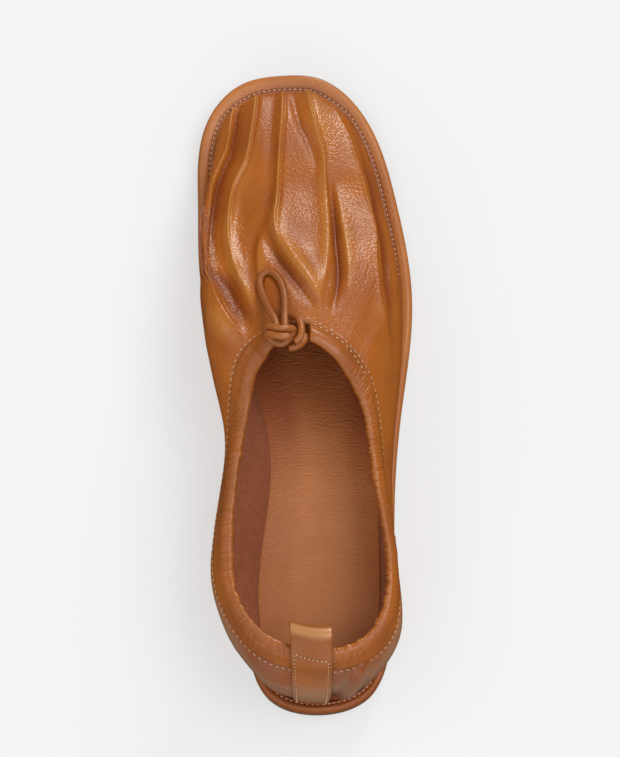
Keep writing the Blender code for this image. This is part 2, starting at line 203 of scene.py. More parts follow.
SECTIONS = (
    Section("heel_centre", 0, 0, -0.5, 10.6, 42.8, -1.2, 17.3, 14, 1.5, 13),
    Section("heel_side_lateral", 19.8, 6.6, 15.3, 13.4, 42.2, 12.9, 19.8, 13, 1.5, 13),
    Section("heel_corner_lateral", 28.8, 30, 27.7, 25.4, 40.4, 22.6, 29, 11, 2.5, 12),
    Section("quarter_lateral", 31, 58, 30.2, 50, 37.2, 27.4, 50, 9, 2, 10),
    Section("waist_lateral", 32.4, 88, 27.4, 81, 35.7, 24, 80, 9, 3, 12),
    Section("instep_lateral", 36.4, 121, 26, 99, 38.2, 22, 97.5, 10, 3, 18),
    Section("ball_lateral", 42.4, 165, 23, 121, 45.2, 18.3, 115, 12, 1.5, 32),
    Section("vamp_lateral", 37.5, 209, 16, 133.4, 50.8, 12.3, 126.3, 12, 0, 46),
    Section("toe_corner_lateral", 22.5, 248.5, 8.6, 140.2, 53.4, 6.3, 132.9, 10, -1, 56),
    Section("toe_front_lateral", 8.5, 259.4, 1, 144.4, 54.4, 0.4, 136.8, 8, -1.5, 58),
    Section("toe_centre", -7, 261, -6, 145.8, 54.8, -5.2, 138.2, 8, -2, 58),
    Section("toe_front_medial", -23.5, 257.9, -12.2, 144.8, 54.4, -10, 137.9, 8, -1.5, 57),
    Section("toe_corner_medial", -37, 244.6, -18.2, 141.6, 53.4, -14.8, 135.4, 10, -1, 54),
    Section("vamp_medial", -42.4, 209, -24.6, 136.6, 51.6, -18.6, 130.4, 12, -0.5, 44),
    Section("ball_medial", -41.8, 174, -28.7, 130.6, 48.4, -22, 125.2, 12, 0.5, 32),
    Section("instep_medial", -31.5, 139, -31.3, 117, 42.6, -24.8, 113.8, 10, 6, 18),
    Section("waist_medial", -22.6, 101, -34, 95, 37.4, -29.2, 95, 8, 7, 9),
    Section("quarter_medial", -27.2, 62, -39.4, 60, 36.7, -33.2, 60, 9, 5.5, 9),
    Section("heel_corner_medial", -28, 29, -35.4, 33.6, 39.4, -29.6, 35, 11, 3.5, 12),
    Section("heel_side_medial", -19.8, 6.4, -20.9, 15.7, 41.8, -17.6, 22, 13, 1.5, 13),
)


def eased(x: np.ndarray) -> np.ndarray:
    """A smooth step from 0 to 1 as x goes from 0 to 1."""
    x = np.clip(x, 0.0, 1.0)
    return x * x * (3 - 2 * x)


def unit(vectors: Points) -> Points:
    """The same directions with length one."""
    return vectors / np.maximum(np.linalg.norm(vectors, axis=-1, keepdims=True), 1e-9)


def running(steps: np.ndarray) -> np.ndarray:
    """The running total of steps, from nothing."""
    return np.concatenate([[0.0], np.cumsum(steps)])


def read_off(table: Points, run: np.ndarray, wanted: np.ndarray) -> Points:
    """The rows of a table at wanted places along its run."""
    return np.column_stack([np.interp(wanted, run, table[:, k]) for k in range(table.shape[1])])


class ClosedCurve:
    """A smooth periodic curve through values at knots; the last knot is the first one again."""

    def __init__(self, knots: np.ndarray, values: np.ndarray) -> None:
        """Solves the curve's bends.

        Args:
            knots: distances along the curve, one more than there are values.
            values: one row of numbers for each knot but the last.
        """
        steps = np.diff(knots)
        before = np.roll(steps, 1)
        rises = (np.roll(values, -1, axis=0) - values) / steps[:, None]
        count = len(values)
        matrix = np.zeros((count, count))
        for i in range(count):
            matrix[i, i - 1] += before[i]
            matrix[i, i] += 2 * (before[i] + steps[i])
            matrix[i, (i + 1) % count] += steps[i]
        self.knots, self.values, self.steps = knots, values, steps
        self.bends = np.linalg.solve(matrix, 6 * (rises - np.roll(rises, 1, axis=0)))

    def at(self, s: np.ndarray) -> np.ndarray:
        """The values at distances s.

        Args:
            s: distances, of any size; they wrap round.

        Returns:
            One row of numbers for each distance.
        """
        s = np.mod(s, self.knots[-1])
        i = np.clip(np.searchsorted(self.knots, s, side="right") - 1, 0, len(self.values) - 1)
        j = (i + 1) % len(self.values)
        h = self.steps[i][:, None]
        a = (self.knots[i + 1] - s)[:, None] / h
        b = 1 - a
        bend = ((a**3 - a) * self.bends[i] + (b**3 - b) * self.bends[j]) * h * h / 6
        return a * self.values[i] + b * self.values[j] + bend


@dataclass
class ShoeForm:
    """The surfaces that the sections span, all in millimetres from the heel's end."""

    gap: float = 0.3
    wall: float = 1.5
    band_width: float = 8.3
    border_heel: float = 3.9
    border_side: float = 5.3
    border_fore: float = 6.2
    border_front: float = 7.9
    outsole_heel: float = 4.2
    outsole_toe: float = 2.7
    platform_bed: float = 5.1
    feather_lift: float = 1.05
    toe_spring: float = 7.0
    spring_from: float = 196.0
    arch_lift: float = 2.4
    arch_from: float = 58.0
    arch_to: float = 152.0
    spine_heel: float = 1.6
    spine_toe: float = 7.8
    upper_clear: float = 0.2
    knots: np.ndarray = field(init=False)
    curve: ClosedCurve = field(init=False)
    around: float = field(init=False)
    length: float = field(init=False)
    shift: np.ndarray = field(init=False)

    def __post_init__(self) -> None:
        """Builds the closed curve through the sections."""
        table = np.array([astuple(row)[1:] for row in SECTIONS])
        chords = np.linalg.norm(np.roll(table[:, :2], -1, axis=0) - table[:, :2], axis=1)
        self.knots = running(chords)
        self.curve = ClosedCurve(self.knots, table)
        self.around = float(self.knots[-1])
        self.length = float(table[:, 1].max())
        outline = self.edge(np.linspace(0, self.around, 600))
        self.shift = -(outline.min(0) + outline.max(0)) / 2

    def y_at(self, s: np.ndarray) -> np.ndarray:
        """How far from the heel the border's edge lies at distances s."""
        return self.curve.at(s)[:, 1]

    def near_heel(self, s: np.ndarray, until: float, over: float) -> np.ndarray:
        """1 round the heel, eased to 0 over a length that ends at until."""
        return eased((until - self.y_at(s)) / over)

    def closed(self, s: np.ndarray) -> np.ndarray:
        """Distances with the end of the round put back on its start, so that a mesh's sides meet."""
        return np.where(s >= self.around - 1e-6, 0.0, s)

    def to_shoe(self, points: Points) -> Points:
        """Points in millimetres from the heel, put in the shoe's own frame in metres."""
        return (points + np.array([self.shift[0], self.shift[1], 0.0])) * MM

    def ground(self, y: np.ndarray) -> np.ndarray:
        """Height of the outsole's underside: flat heel, low arch, flat forefoot and toe spring.

        Args:
            y: distances from the heel.

        Returns:
            A height for each.
        """
        arch = eased((y - self.arch_from) / 40) * eased((self.arch_to - y) / 44)
        spring = np.maximum(y - self.spring_from, 0) / (self.length - self.spring_from)
        return self.arch_lift * arch + self.toe_spring * spring**1.7

    def outsole_thickness(self, y: np.ndarray) -> np.ndarray:
        """Thickness of the rubber at y."""
        return self.outsole_heel + (self.outsole_toe - self.outsole_heel) * eased((y - 40) / 100)

    def platform_floor(self, y: np.ndarray) -> np.ndarray:
        """Height of the platform's underside."""
        return self.ground(y) + self.outsole_thickness(y)

    def bed(self, y: np.ndarray) -> np.ndarray:
        """Height of the bed that the upper and the sock lie on."""
        return self.platform_floor(y) + self.gap + self.platform_bed

    def border_width(self, y: np.ndarray) -> np.ndarray:
        """Width of the rolled border at y, broadest across the toe.

        Args:
            y: distances from the heel.

        Returns:
            A width for each.
        """
        sides = (self.border_side - self.border_heel) * eased((y - 30) / 110)
        fore = (self.border_fore - self.border_side) * eased((y - 120) / 60)
        front = (self.border_front - self.border_fore) * eased((y - 244) / 14)
        return self.border_heel + sides + fore + front

    def edge(self, s: np.ndarray, inset: float | np.ndarray = 0.0) -> Points:
        """Points in plan on the sole's outline, moved inwards by inset.

        Args:
            s: distances round the sole.
            inset: how far inwards, one for all or one for each.

        Returns:
            The points in plan.
        """
        here = self.curve.at(s)[:, :2]
        along = unit(self.curve.at(s + 0.05)[:, :2] - self.curve.at(s - 0.05)[:, :2])
        inward = np.stack([-along[:, 1], along[:, 0]], axis=1)
        return here + inward * np.broadcast_to(inset, s.shape)[:, None]

    def spine(self, s: np.ndarray) -> Points:
        """Points in plan midway between the two sides, where a plate's two halves meet.

        Args:
            s: distances round the sole.

        Returns:
            The points in plan.
        """
        s = np.mod(s, self.around)
        count = len(SECTIONS)
        i = np.clip(np.searchsorted(self.knots, s, side="right") - 1, 0, count - 1)
        place = i + (s - self.knots[i]) / (self.knots[i + 1] - self.knots[i])
        place = np.clip(np.minimum(place, count - place), self.spine_heel, self.spine_toe)
        whole = place.astype(int)
        share = place - whole
        outer = self.knots[whole] + share * (self.knots[whole + 1] - self.knots[whole])
        last = count - whole
        inner = self.knots[last] - share * (self.knots[last] - self.knots[last - 1])
        return (self.edge(outer) + self.edge(inner)) / 2

    def seam_and_rim(self, s: np.ndarray) -> tuple[Points, Points]:
        """The casing's lower and upper line.

        Args:
            s: distances round the sole.

        Returns:
            The points of each line.
        """
        row = self.curve.at(s)
        across = np.hypot(row[:, 5] - row[:, 2], row[:, 6] - row[:, 3])
        up = np.sqrt(np.maximum(self.band_width**2 - across**2, 1.0))
        return row[:, 2:5], np.stack([row[:, 5], row[:, 6], row[:, 4] + up], axis=1)

    def wall_at(self, s: np.ndarray, v: np.ndarray) -> Points:
        """Points on the upper's outer surface: v = 0 at the sole, 1 at the collar seam.

        Args:
            s: distances round the sole.
            v: shares of the wall's height.

        Returns:
            The points, in millimetres from the heel.
        """
        row = self.curve.at(s)
        edge = self.edge(s)
        foot = self.edge(s, self.border_width(row[:, 1]) + self.upper_clear)
        outward = unit(edge - foot)
        start = np.column_stack([foot, self.bed(foot[:, 1]) + self.feather_lift])
        first = start + np.column_stack([outward * row[:, 8:9], row[:, 7]])
        end, rim = self.seam_and_rim(s)
        last = end - unit(rim - end) * row[:, 9:10]
        v = np.broadcast_to(v, s.shape)[:, None]
        w = 1 - v
        return start * w**3 + first * 3 * w * w * v + last * 3 * w * v * v + end * v**3

    def wall_normal(self, s: np.ndarray, v: np.ndarray) -> Points:
        """Outward directions of the upper's outer surface.

        Args:
            s: distances round the sole.
            v: shares of the wall's height.

        Returns:
            A direction for each, of length one.
        """
        v = np.broadcast_to(v, s.shape)
        along = self.wall_at(s + 0.4, v) - self.wall_at(s - 0.4, v)
        rise = self.wall_at(s, np.minimum(v + 0.02, 1)) - self.wall_at(s, np.maximum(v - 0.02, 0))
        return unit(np.cross(along, rise))

    def casing_at(self, s: np.ndarray) -> tuple[Points, Points, Points, Points]:
        """The collar casing's centre, and its directions along, up its height and outwards.

        Args:
            s: distances round the sole.

        Returns:
            The centres, then the three directions at each.
        """
        seam, rim = self.seam_and_rim(s)
        ahead, behind = self.seam_and_rim(s + 0.5), self.seam_and_rim(s - 0.5)
        along = unit(ahead[0] + ahead[1] - behind[0] - behind[1])
        height = unit(rim - seam)
        outward = unit(np.cross(along, height))
        return seam + (rim - seam) * 0.5 + height * self.gap, along, height, outward


FORM = ShoeForm()


# ---------------------------------------------------------------- mesh helpers
def put(name: str, data: bpy.types.ID) -> bpy.types.Object:
    """A new object in the scene.

    Args:
        name: the object's name.
        data: its mesh, lamp or camera.

    Returns:
        The object.
    """
    obj = bpy.data.objects.new(name, data)
    bpy.context.scene.collection.objects.link(obj)
    return obj


def surface(
    name: str, columns: int, rows: int, place: Place, layers: dict[str, Place] | None = None
) -> bpy.types.Object:
    """A sheet of columns by rows bent onto a form, welded where its sides meet.

    Args:
        name: the piece's name.
        columns: faces along it.
        rows: faces across it.
        place: gives the point, in millimetres from the heel, for arrays of shares along and across.
        layers: point attributes, each a function of the same two shares.

    Returns:
        The smooth-shaded object, with its shares in its UV map.
    """
    bm = bmesh.new()
    bm.loops.layers.uv.new("UVMap")
    bmesh.ops.create_grid(bm, x_segments=columns, y_segments=rows, size=0.5, calc_uvs=True)
    mesh = bpy.data.meshes.new(name)
    bm.to_mesh(mesh)
    bm.free()
    flat = np.empty(len(mesh.vertices) * 3, np.float32)
    mesh.vertices.foreach_get("co", flat)
    grid = flat.reshape(-1, 3).astype(float) + 0.5
    along, across = np.clip(grid[:, 0], 0, 1), np.clip(grid[:, 1], 0, 1)
    points = FORM.to_shoe(place(along, across))
    mesh.vertices.foreach_set("co", points.astype(np.float32).ravel())
    for layer, value in (layers or {}).items():
        attribute = mesh.attributes.new(layer, "FLOAT", "POINT")
        attribute.data.foreach_set("value", value(along, across).astype(np.float32))
    bm = bmesh.new()
    bm.from_mesh(mesh)
    bmesh.ops.remove_doubles(bm, verts=bm.verts, dist=2e-6)
    bmesh.ops.dissolve_degenerate(bm, edges=bm.edges, dist=1e-7)
    bmesh.ops.recalc_face_normals(bm, faces=bm.faces)
    bm.to_mesh(mesh)
    bm.free()
    mesh.shade_smooth()
    return put(name, mesh)


def rows_as(values: Sequence[float], shares: np.ndarray) -> np.ndarray:
    """The values picked out by shares that fall on a grid's rows."""
    table = np.asarray(values, float)
    return table[np.rint(shares * (len(table) - 1)).astype(int)]


def smooth_line(route: Points, step: float) -> Points:
    """A smooth line through the route's points.

    Args:
        route: the points that it goes through; further columns are carried along.
        step: how far apart the new points are, in the first two or three columns' unit.

    Returns:
        The line's points, the route's first and last among them.
    """
    route = np.asarray(route, float)
    ends = np.vstack([2 * route[0] - route[1], route, 2 * route[-1] - route[-2]])
    found = []
    for a, b, c, d in zip(ends, ends[1:], ends[2:], ends[3:]):
        count = max(1, round(float(np.linalg.norm((c - b)[:3])) / step))
        t = (np.arange(count) / count)[:, None]
        bend, turn = 2 * a - 5 * b + 4 * c - d, 3 * b - 3 * c + d - a
        found.append(b + ((c - a) * t + bend * t * t + turn * t**3) * 0.5)
    return np.vstack([*found, route[-1:]])


def evenly(line: Points, count: int) -> Points:
    """The same line with count points at equal distances."""
    run = running(np.linalg.norm(np.diff(line[:, :3], axis=0), axis=1))
    return read_off(line, run, np.linspace(0, run[-1], count))


def once_round(shares: np.ndarray) -> np.ndarray:
    """Shares of a turn as angles, with the end put back on the start."""
    return np.where(shares >= 1.0, 0.0, shares) * math.tau


def round_end(distance: np.ndarray, radius: float) -> np.ndarray:
    """How full a rounded end is at a distance from it: 0 at the end, 1 from its radius on."""
    return np.sqrt(np.clip(1 - (1 - np.clip(distance / radius, 0, 1)) ** 2, 0, 1))


def nearest_of(points: Points, others: Points) -> np.ndarray:
    """Which of the others lies nearest to each point."""
    return np.argmin(np.sum(others**2, axis=1)[None, :] - 2 * points @ others.T, axis=1)


def batches_near(points: Points, line: Points, reach: float) -> list[np.ndarray]:
    """Which points lie within reach of a line's box, in batches that keep the tables of distances small.

    Args:
        points: the points to pick from.
        line: the line's points.
        reach: how far beyond the line's box.

    Returns:
        The picked points' numbers, batch by batch.
    """
    low, high = line.min(0) - reach, line.max(0) + reach
    near = np.flatnonzero(np.all((points > low) & (points < high), axis=1))
    return [part for part in np.array_split(near, len(near) * len(line) // BATCH + 1) if len(part)]


def lumps(points: Points, size: float, seed: int) -> np.ndarray:
    """Smooth unevenness between -1 and 1, in lumps of a given size.

    Args:
        points: where it is wanted.
        size: how far apart the lumps are, in the points' unit.
        seed: picks one unevenness among many.

    Returns:
        One number for each point.
    """
    table = np.random.default_rng(seed).uniform(-1, 1, 4096)
    cell = points / size + 1000.0
    base = np.floor(cell).astype(int)
    part = eased(cell - base)
    total = np.zeros(len(points))
    for corner in itertools.product((0, 1), repeat=points.shape[1]):
        key = np.zeros(len(points), int)
        weight = np.ones(len(points))
        for axis, side in enumerate(corner):
            key = key * 197 + base[:, axis] + side
            weight = weight * (part[:, axis] if side else 1 - part[:, axis])
        total += table[key % 4096] * weight
    return total


# ---------------------------------------------------------------- materials
Colour = Triple
Sockets = dict[str | int, object]


def rgba(colour: Colour) -> tuple[float, float, float, float]:
    """A colour with full opacity."""
    return (*colour, 1.0)


class Socket(Enum):
    """Kinds of socket on a node group."""

    VALUE = "NodeSocketFloat"
    COLOUR = "NodeSocketColor"
    VECTOR = "NodeSocketVector"


class NodeSketch:
    """A short way to place and join shader nodes in one tree."""

    def __init__(self, tree: bpy.types.NodeTree) -> None:
        """Keeps the tree that nodes are added to."""
        self.tree = tree

    def feed(self, sockets: bpy.types.bpy_prop_collection, values: Sockets) -> None:
        """Gives inputs their values or other nodes' outputs.

        Args:
            sockets: the inputs.
            values: a number, a colour or another node's output for each named one.
        """
        for key, value in values.items():
            if isinstance(value, bpy.types.NodeSocket):
                self.tree.links.new(value, sockets[key])
            else:
                sockets[key].default_value = value

    def add(self, kind: str, sockets: Sockets | None = None, **settings: object) -> bpy.types.Node:
        """A new node.

        Args:
            kind: the node's type name, without its ShaderNode prefix.
            sockets: values or other nodes' outputs for its inputs.
            settings: the node's own settings.

        Returns:
            The node.
        """
        node = self.tree.nodes.new("ShaderNode" + kind)
        for name, value in settings.items():
            setattr(node, name, value)
        self.feed(node.inputs, sockets or {})
        return node

    def maths(self, operation: str, first: object, second: object) -> bpy.types.NodeSocket:
        """The result of one Math node."""
        return self.add("Math", {0: first, 1: second}, operation=operation).outputs[0]

    def vector(self, operation: str, first: object, second: object) -> bpy.types.NodeSocket:
        """The result of one Vector Math node."""
        return self.add("VectorMath", {0: first, 1: second}, operation=operation).outputs[0]

    def noise(self, place: object, scale: object, detail: float, **more: float) -> bpy.types.NodeSocket:
        """The value of a noise texture."""
        sockets = {"Vector": place, "Scale": scale, "Detail": detail, **more}
        return self.add("TexNoise", sockets).outputs["Fac"]

    def layer(self, name: str) -> bpy.types.NodeSocket:
        """The value of one of the mesh's layers."""
        return self.add("Attribute", attribute_name=name).outputs["Fac"]

    def spread(
        self, value: object, low: float, high: float, to_low: float = 0.0, to_high: float = 1.0
    ) -> bpy.types.NodeSocket:
        """A value eased from one range into another."""
        sockets = {"Value": value, "From Min": low, "From Max": high, "To Min": to_low, "To Max": to_high}
        return self.add("MapRange", sockets, interpolation_type="SMOOTHSTEP").outputs[0]

    def blend(
        self, factor: object, first: object, second: object, mode: str = "MIX"
    ) -> bpy.types.NodeSocket:
        """The mix of two colours."""
        sockets = {0: factor, 6: first, 7: second}
        return self.add("Mix", sockets, data_type="RGBA", blend_type=mode).outputs[2]

    def lit(self, colour: object, light: object) -> bpy.types.NodeSocket:
        """A colour made lighter or darker by a value."""
        tone = self.add("CombineColor", {0: light, 1: light, 2: light}).outputs[0]
        return self.blend(1.0, colour, tone, "MULTIPLY")

    def finish(
        self, shader: bpy.types.Node, height: object, strength: object, depth: float, inputs: Sockets
    ) -> None:
        """Joins a finish to its material's shader.

        Args:
            shader: the material's shader node.
            height: the relief.
            strength: how much of the relief shows.
            depth: the relief's full height in metres.
            inputs: the shader's further inputs.
        """
        bump = self.add("Bump", {"Height": height, "Strength": strength, "Distance": depth})
        self.feed(shader.inputs, {"Normal": bump.outputs[0], **inputs})


def new_group(
    name: str, inputs: dict[str, Socket], outputs: dict[str, Socket]
) -> tuple[NodeSketch, bpy.types.bpy_prop_collection, bpy.types.bpy_prop_collection]:
    """An empty node group with named sockets.

    Args:
        name: the group's name.
        inputs: its inputs and their kinds.
        outputs: its outputs and their kinds.

    Returns:
        A sketch of its tree, the sockets that it is given and the sockets that it fills.
    """
    tree = bpy.data.node_groups.new(name, "ShaderNodeTree")
    for side, sockets in (("INPUT", inputs), ("OUTPUT", outputs)):
        for socket, kind in sockets.items():
            tree.interface.new_socket(socket, in_out=side, socket_type=kind.value)
    given, out = tree.nodes.new("NodeGroupInput"), tree.nodes.new("NodeGroupOutput")
    return NodeSketch(tree), given.outputs, out.inputs


class SharedEffects:
    """Node groups that several finishes use, built once."""

    def __init__(self) -> None:
        """Builds both groups."""
        self.grain = self._grain()
        self.tone_and_highlight = self._tone_and_highlight()

    def _grain(self) -> bpy.types.NodeTree:
        """Leather grain: pebbles parted by fine valleys, with pores; gives a height and a valley mask.

        Returns:
            The group's tree.
        """
        sketch, given, out = new_group(
            "pebbled_grain",
            {
                "Place": Socket.VECTOR, "Pebbles": Socket.VALUE, "Pores": Socket.VALUE,
                "Stretch": Socket.VECTOR,
            },
            {"Height": Socket.VALUE, "Valleys": Socket.VALUE},
        )
        place = sketch.vector("MULTIPLY", given["Place"], given["Stretch"])
        bend = sketch.add("TexNoise", {"Vector": place, "Scale": 420.0, "Detail": 2.0}).outputs["Color"]
        bent = sketch.vector("ADD", place, sketch.vector("MULTIPLY", bend, (0.0011, 0.0011, 0.0011)))
        cells = sketch.add(
            "TexVoronoi", {"Vector": bent, "Scale": given["Pebbles"], "Randomness": 0.9}, feature="SMOOTH_F1"
        ).outputs["Distance"]
        fine = sketch.noise(bent, given["Pores"], 3.0, Roughness=0.6)
        patches = sketch.spread(sketch.noise(place, 65.0, 2.0), 0.3, 0.7, 0.45, 1.0)
        pebble = sketch.maths("MULTIPLY", sketch.spread(cells, 0.15, 0.75, 1.0, 0.0), patches)
        domes, pores = sketch.maths("MULTIPLY", pebble, 0.7), sketch.maths("MULTIPLY", fine, 0.12)
        height = sketch.maths("ADD", domes, pores)
        sketch.feed(out, {"Height": height, "Valleys": sketch.maths("SUBTRACT", 1.0, pebble)})
        return sketch.tree

    def _tone_and_highlight(self) -> bpy.types.NodeTree:
        """Uneven dye: a colour that drifts between three tones, darker in valleys, and paler where rubbed and where a
        highlight is painted on crests.

        Returns:
            The group's tree.
        """
        colours = dict.fromkeys(("Dye", "Deep", "Pale"), Socket.COLOUR)
        values = dict.fromkeys(("Scale", "Rubbed", "Valleys"), Socket.VALUE)
        sketch, given, out = new_group(
            "uneven_dye",
            {"Place": Socket.VECTOR, **colours, **values},
            {"Colour": Socket.COLOUR, "Drift": Socket.VALUE},
        )
        drift = sketch.spread(sketch.noise(given["Place"], given["Scale"], 4.0), 0.36, 0.66)
        colour = sketch.blend(sketch.maths("MULTIPLY", drift, 0.55), given["Dye"], given["Deep"])
        colour = sketch.blend(sketch.maths("MULTIPLY", given["Valleys"], 0.22), colour, given["Deep"])
        colour = sketch.blend(given["Rubbed"], colour, given["Pale"])
        sketch.feed(out, {"Colour": colour, "Drift": drift})
        return sketch.tree


def new_material(name: str) -> tuple[bpy.types.Material, NodeSketch, bpy.types.Node, bpy.types.NodeSocket]:
    """A material with its shader and the object's own coordinates.

    Args:
        name: the material's name.

    Returns:
        The material, a sketch of its tree, its shader and the coordinates.
    """
    made = bpy.data.materials.new(name)
    made.use_nodes = True
    sketch = NodeSketch(made.node_tree)
    place = sketch.add("TexCoord").outputs["Object"]
    return made, sketch, made.node_tree.nodes["Principled BSDF"], place


@dataclass(frozen=True)
class Leather:
    """Grain leather: dye, polish and pebble.

    layers names those of the mesh's layers that it heeds: ridge for crests painted paler, partly as rubbed wear and
    partly as a painted highlight; shade for painted shade in valleys, seams and round the heel;
    and the last for leather pulled so flat that it loses its grain and takes a painted sheen, a pale reflection at
    grazing angles.
    """

    name: str
    dye: Colour
    deep: Colour
    pale: Colour
    roughness: float = 0.42
    specular: float = 0.5
    coat: float = 0.12
    pebbles: float = 1150.0
    pores: float = 2600.0
    depth: float = 0.00011
    stretch: Triple = (1.0, 1.0, 1.0)
    layers: tuple[str, ...] = ()

    def build(self, shared: SharedEffects) -> bpy.types.Material:
        """The finish as a material.

        Args:
            shared: the node groups that it uses.

        Returns:
            The material.
        """
        made, sketch, shader, place = new_material(self.name)
        sizes = {"Pebbles": self.pebbles, "Pores": self.pores, "Stretch": self.stretch}
        grain = sketch.add("Group", {"Place": place, **sizes}, node_tree=shared.grain).outputs
        tones = {"Dye": rgba(self.dye), "Deep": rgba(self.deep), "Pale": rgba(self.pale)}
        dye = sketch.add(
            "Group", {"Place": place, "Scale": 38.0, "Valleys": grain["Valleys"], "Rubbed": 0.0, **tones},
            node_tree=shared.tone_and_highlight,
        )
        colour: object = dye.outputs["Colour"]
        polish: object = dye.outputs["Drift"]
        strength: object = 1.0
        # Crests are painted paler: partly rubbed wear, partly a painted highlight.
        if "ridge" in self.layers:
            ridge = sketch.layer("ridge")
            sketch.feed(dye.inputs, {"Rubbed": sketch.spread(ridge, 0.15, 1.0, 0.0, 0.5)})
            polish = sketch.maths("ADD", polish, sketch.maths("MULTIPLY", ridge, -0.8))
        # Painted shade: the colour is multiplied towards the deep tone where the shade layer says.
        if "shade" in self.layers:
            dark = sketch.spread(sketch.layer("shade"), 0.0, 1.0, 0.0, 0.8)
            colour = sketch.blend(dark, colour, rgba(self.deep), "MULTIPLY")
        # Where the grain is pulled flat its bump fades, and a painted sheen, a pale reflection at grazing angles, is
        # blended into the colour.
        if "smooth" in self.layers:
            flat = sketch.layer("smooth")
            strength = sketch.spread(flat, 0.0, 1.0, 1.0, 0.15)
            facing = sketch.add("LayerWeight", {"Blend": 0.5}).outputs["Facing"]
            painted_sheen = sketch.maths("MULTIPLY", flat, sketch.spread(facing, 0.0, 0.6, 0.0, 0.52))
            colour = sketch.blend(painted_sheen, colour, rgba((0.36, 0.24, 0.16)))
        rough = sketch.spread(polish, -0.6, 1.0, self.roughness - 0.07, self.roughness + 0.06)
        sketch.finish(shader, grain["Height"], strength, self.depth, {
            "Base Color": colour,
            "Roughness": sketch.maths("ADD", rough, sketch.maths("MULTIPLY", grain["Valleys"], 0.05)),
            "Specular IOR Level": self.specular,
            "Coat Weight": self.coat,
            "Coat Roughness": 0.3,
        })
        return made


@dataclass(frozen=True)
class Suede:
    """The flesh side of leather, brushed: dull, with a soft bloom at its edges."""

    name: str
    dye: Colour
    turned: Colour

    def build(self) -> bpy.types.Material:
        """The finish as a material: short nap, turned in drifting patches.

        Returns:
            The material.
        """
        made, sketch, shader, place = new_material(self.name)
        nap = sketch.noise(place, 2200.0, 4.0, Roughness=0.7)
        turned = sketch.spread(sketch.noise(place, 420.0, 4.0, Distortion=0.8), 0.35, 0.65)
        colour = sketch.blend(turned, rgba(self.dye), rgba(self.turned))
        sketch.finish(shader, nap, 1.0, 0.00018, {
            "Base Color": sketch.lit(colour, sketch.spread(nap, 0.3, 0.7, 0.82, 1.12)),
            "Roughness": sketch.spread(nap, 0.3, 0.7, 0.82, 0.95),
            "Specular IOR Level": 0.2,
            "Sheen Weight": 0.25,
            "Sheen Roughness": 0.5,
            "Sheen Tint": rgba((0.9, 0.6, 0.5)),
        })
        return made


@dataclass(frozen=True)
class Thread:
    """Twisted sewing thread, seen as pale stitches."""

    name: str
    dye: Colour
    roughness: float = 0.55

    def build(self) -> bpy.types.Material:
        """The finish as a material.

        Returns:
            The material.
        """
        made, sketch, shader, place = new_material(self.name)
        twist = sketch.noise(place, 3800.0, 2.0)
        sketch.finish(shader, twist, 0.6, 0.00006, {
            "Base Color": sketch.lit(rgba(self.dye), sketch.spread(twist, 0.3, 0.7, 0.75, 1.15)),
            "Roughness": sketch.spread(twist, 0.3, 0.7, self.roughness - 0.08, self.roughness + 0.1),
        })
        return made


@dataclass(frozen=True)
class Rubber:
    """Moulded rubber: dull, with a fine stipple and rubbed patches."""

    name: str
    dye: Colour
    worn: Colour

    def build(self) -> bpy.types.Material:
        """The finish as a material.

        Returns:
            The material.
        """
        made, sketch, shader, place = new_material(self.name)
        patches = sketch.noise(place, 45.0, 4.0)
        rubbed = sketch.spread(patches, 0.4, 0.7, 0.0, 0.7)
        sketch.finish(shader, sketch.noise(place, 1500.0, 3.0), 0.8, 0.00015, {
            "Base Color": sketch.blend(rubbed, rgba(self.dye), rgba(self.worn)),
            "Roughness": sketch.spread(patches, 0.3, 0.7, 0.55, 0.72),
        })
        return made


# Each leather's third tone is its pale one, painted on crests where the leather heeds them: partly rubbed wear, partly
# a painted highlight.
TAN = Leather(
    "tan_nappa", (0.43, 0.121, 0.012), (0.29, 0.062, 0.004), (0.54, 0.215, 0.042),
    roughness=0.32, coat=0.0, depth=0.00018, pebbles=1100.0, layers=("ridge", "shade", "smooth"),
)
BORDER_TAN = Leather(
    "border_nappa", (0.53, 0.185, 0.042), (0.38, 0.11, 0.018), (0.62, 0.29, 0.10),
    roughness=0.36, depth=0.00012, layers=("shade",),
)
CASING_TAN = Leather(
    "casing_nappa", (0.40, 0.112, 0.012), (0.25, 0.057, 0.005), (0.62, 0.28, 0.08),
    roughness=0.34, depth=0.00008, layers=("ridge",),
)
STRAP_TAN = Leather(
    "strap_nappa", (0.37, 0.112, 0.018), (0.27, 0.07, 0.008), (0.66, 0.34, 0.13),
    roughness=0.31, coat=0.0, depth=0.00004, layers=("ridge", "shade", "smooth"),
)
CORD_TAN = Leather(
    "cord_nappa", (0.40, 0.12, 0.024), (0.25, 0.07, 0.010), (0.60, 0.29, 0.11),
    roughness=0.34, pebbles=1600.0, depth=0.00008,
)
SOCK_TAN = Leather(
    "sock_leather", (0.58, 0.205, 0.058), (0.46, 0.145, 0.032), (0.66, 0.33, 0.15),
    specular=0.4, coat=0.05, pebbles=900.0, pores=2000.0, depth=0.00022, stretch=(0.5, 1.4, 1.0),
    layers=("shade",),
)
LINING = Suede("lining_suede", (0.38, 0.118, 0.052), (0.33, 0.098, 0.042))
STITCH = Thread("golden_thread", (0.76, 0.47, 0.25))
# The needle holes are dark beads: painted shade in the holes.
HOLE_SHADE = Thread("needle_hole", (0.16, 0.052, 0.014), 0.8)
SOLE_RUBBER = Rubber("brown_rubber_sole", (0.14, 0.07, 0.035), (0.20, 0.11, 0.06))


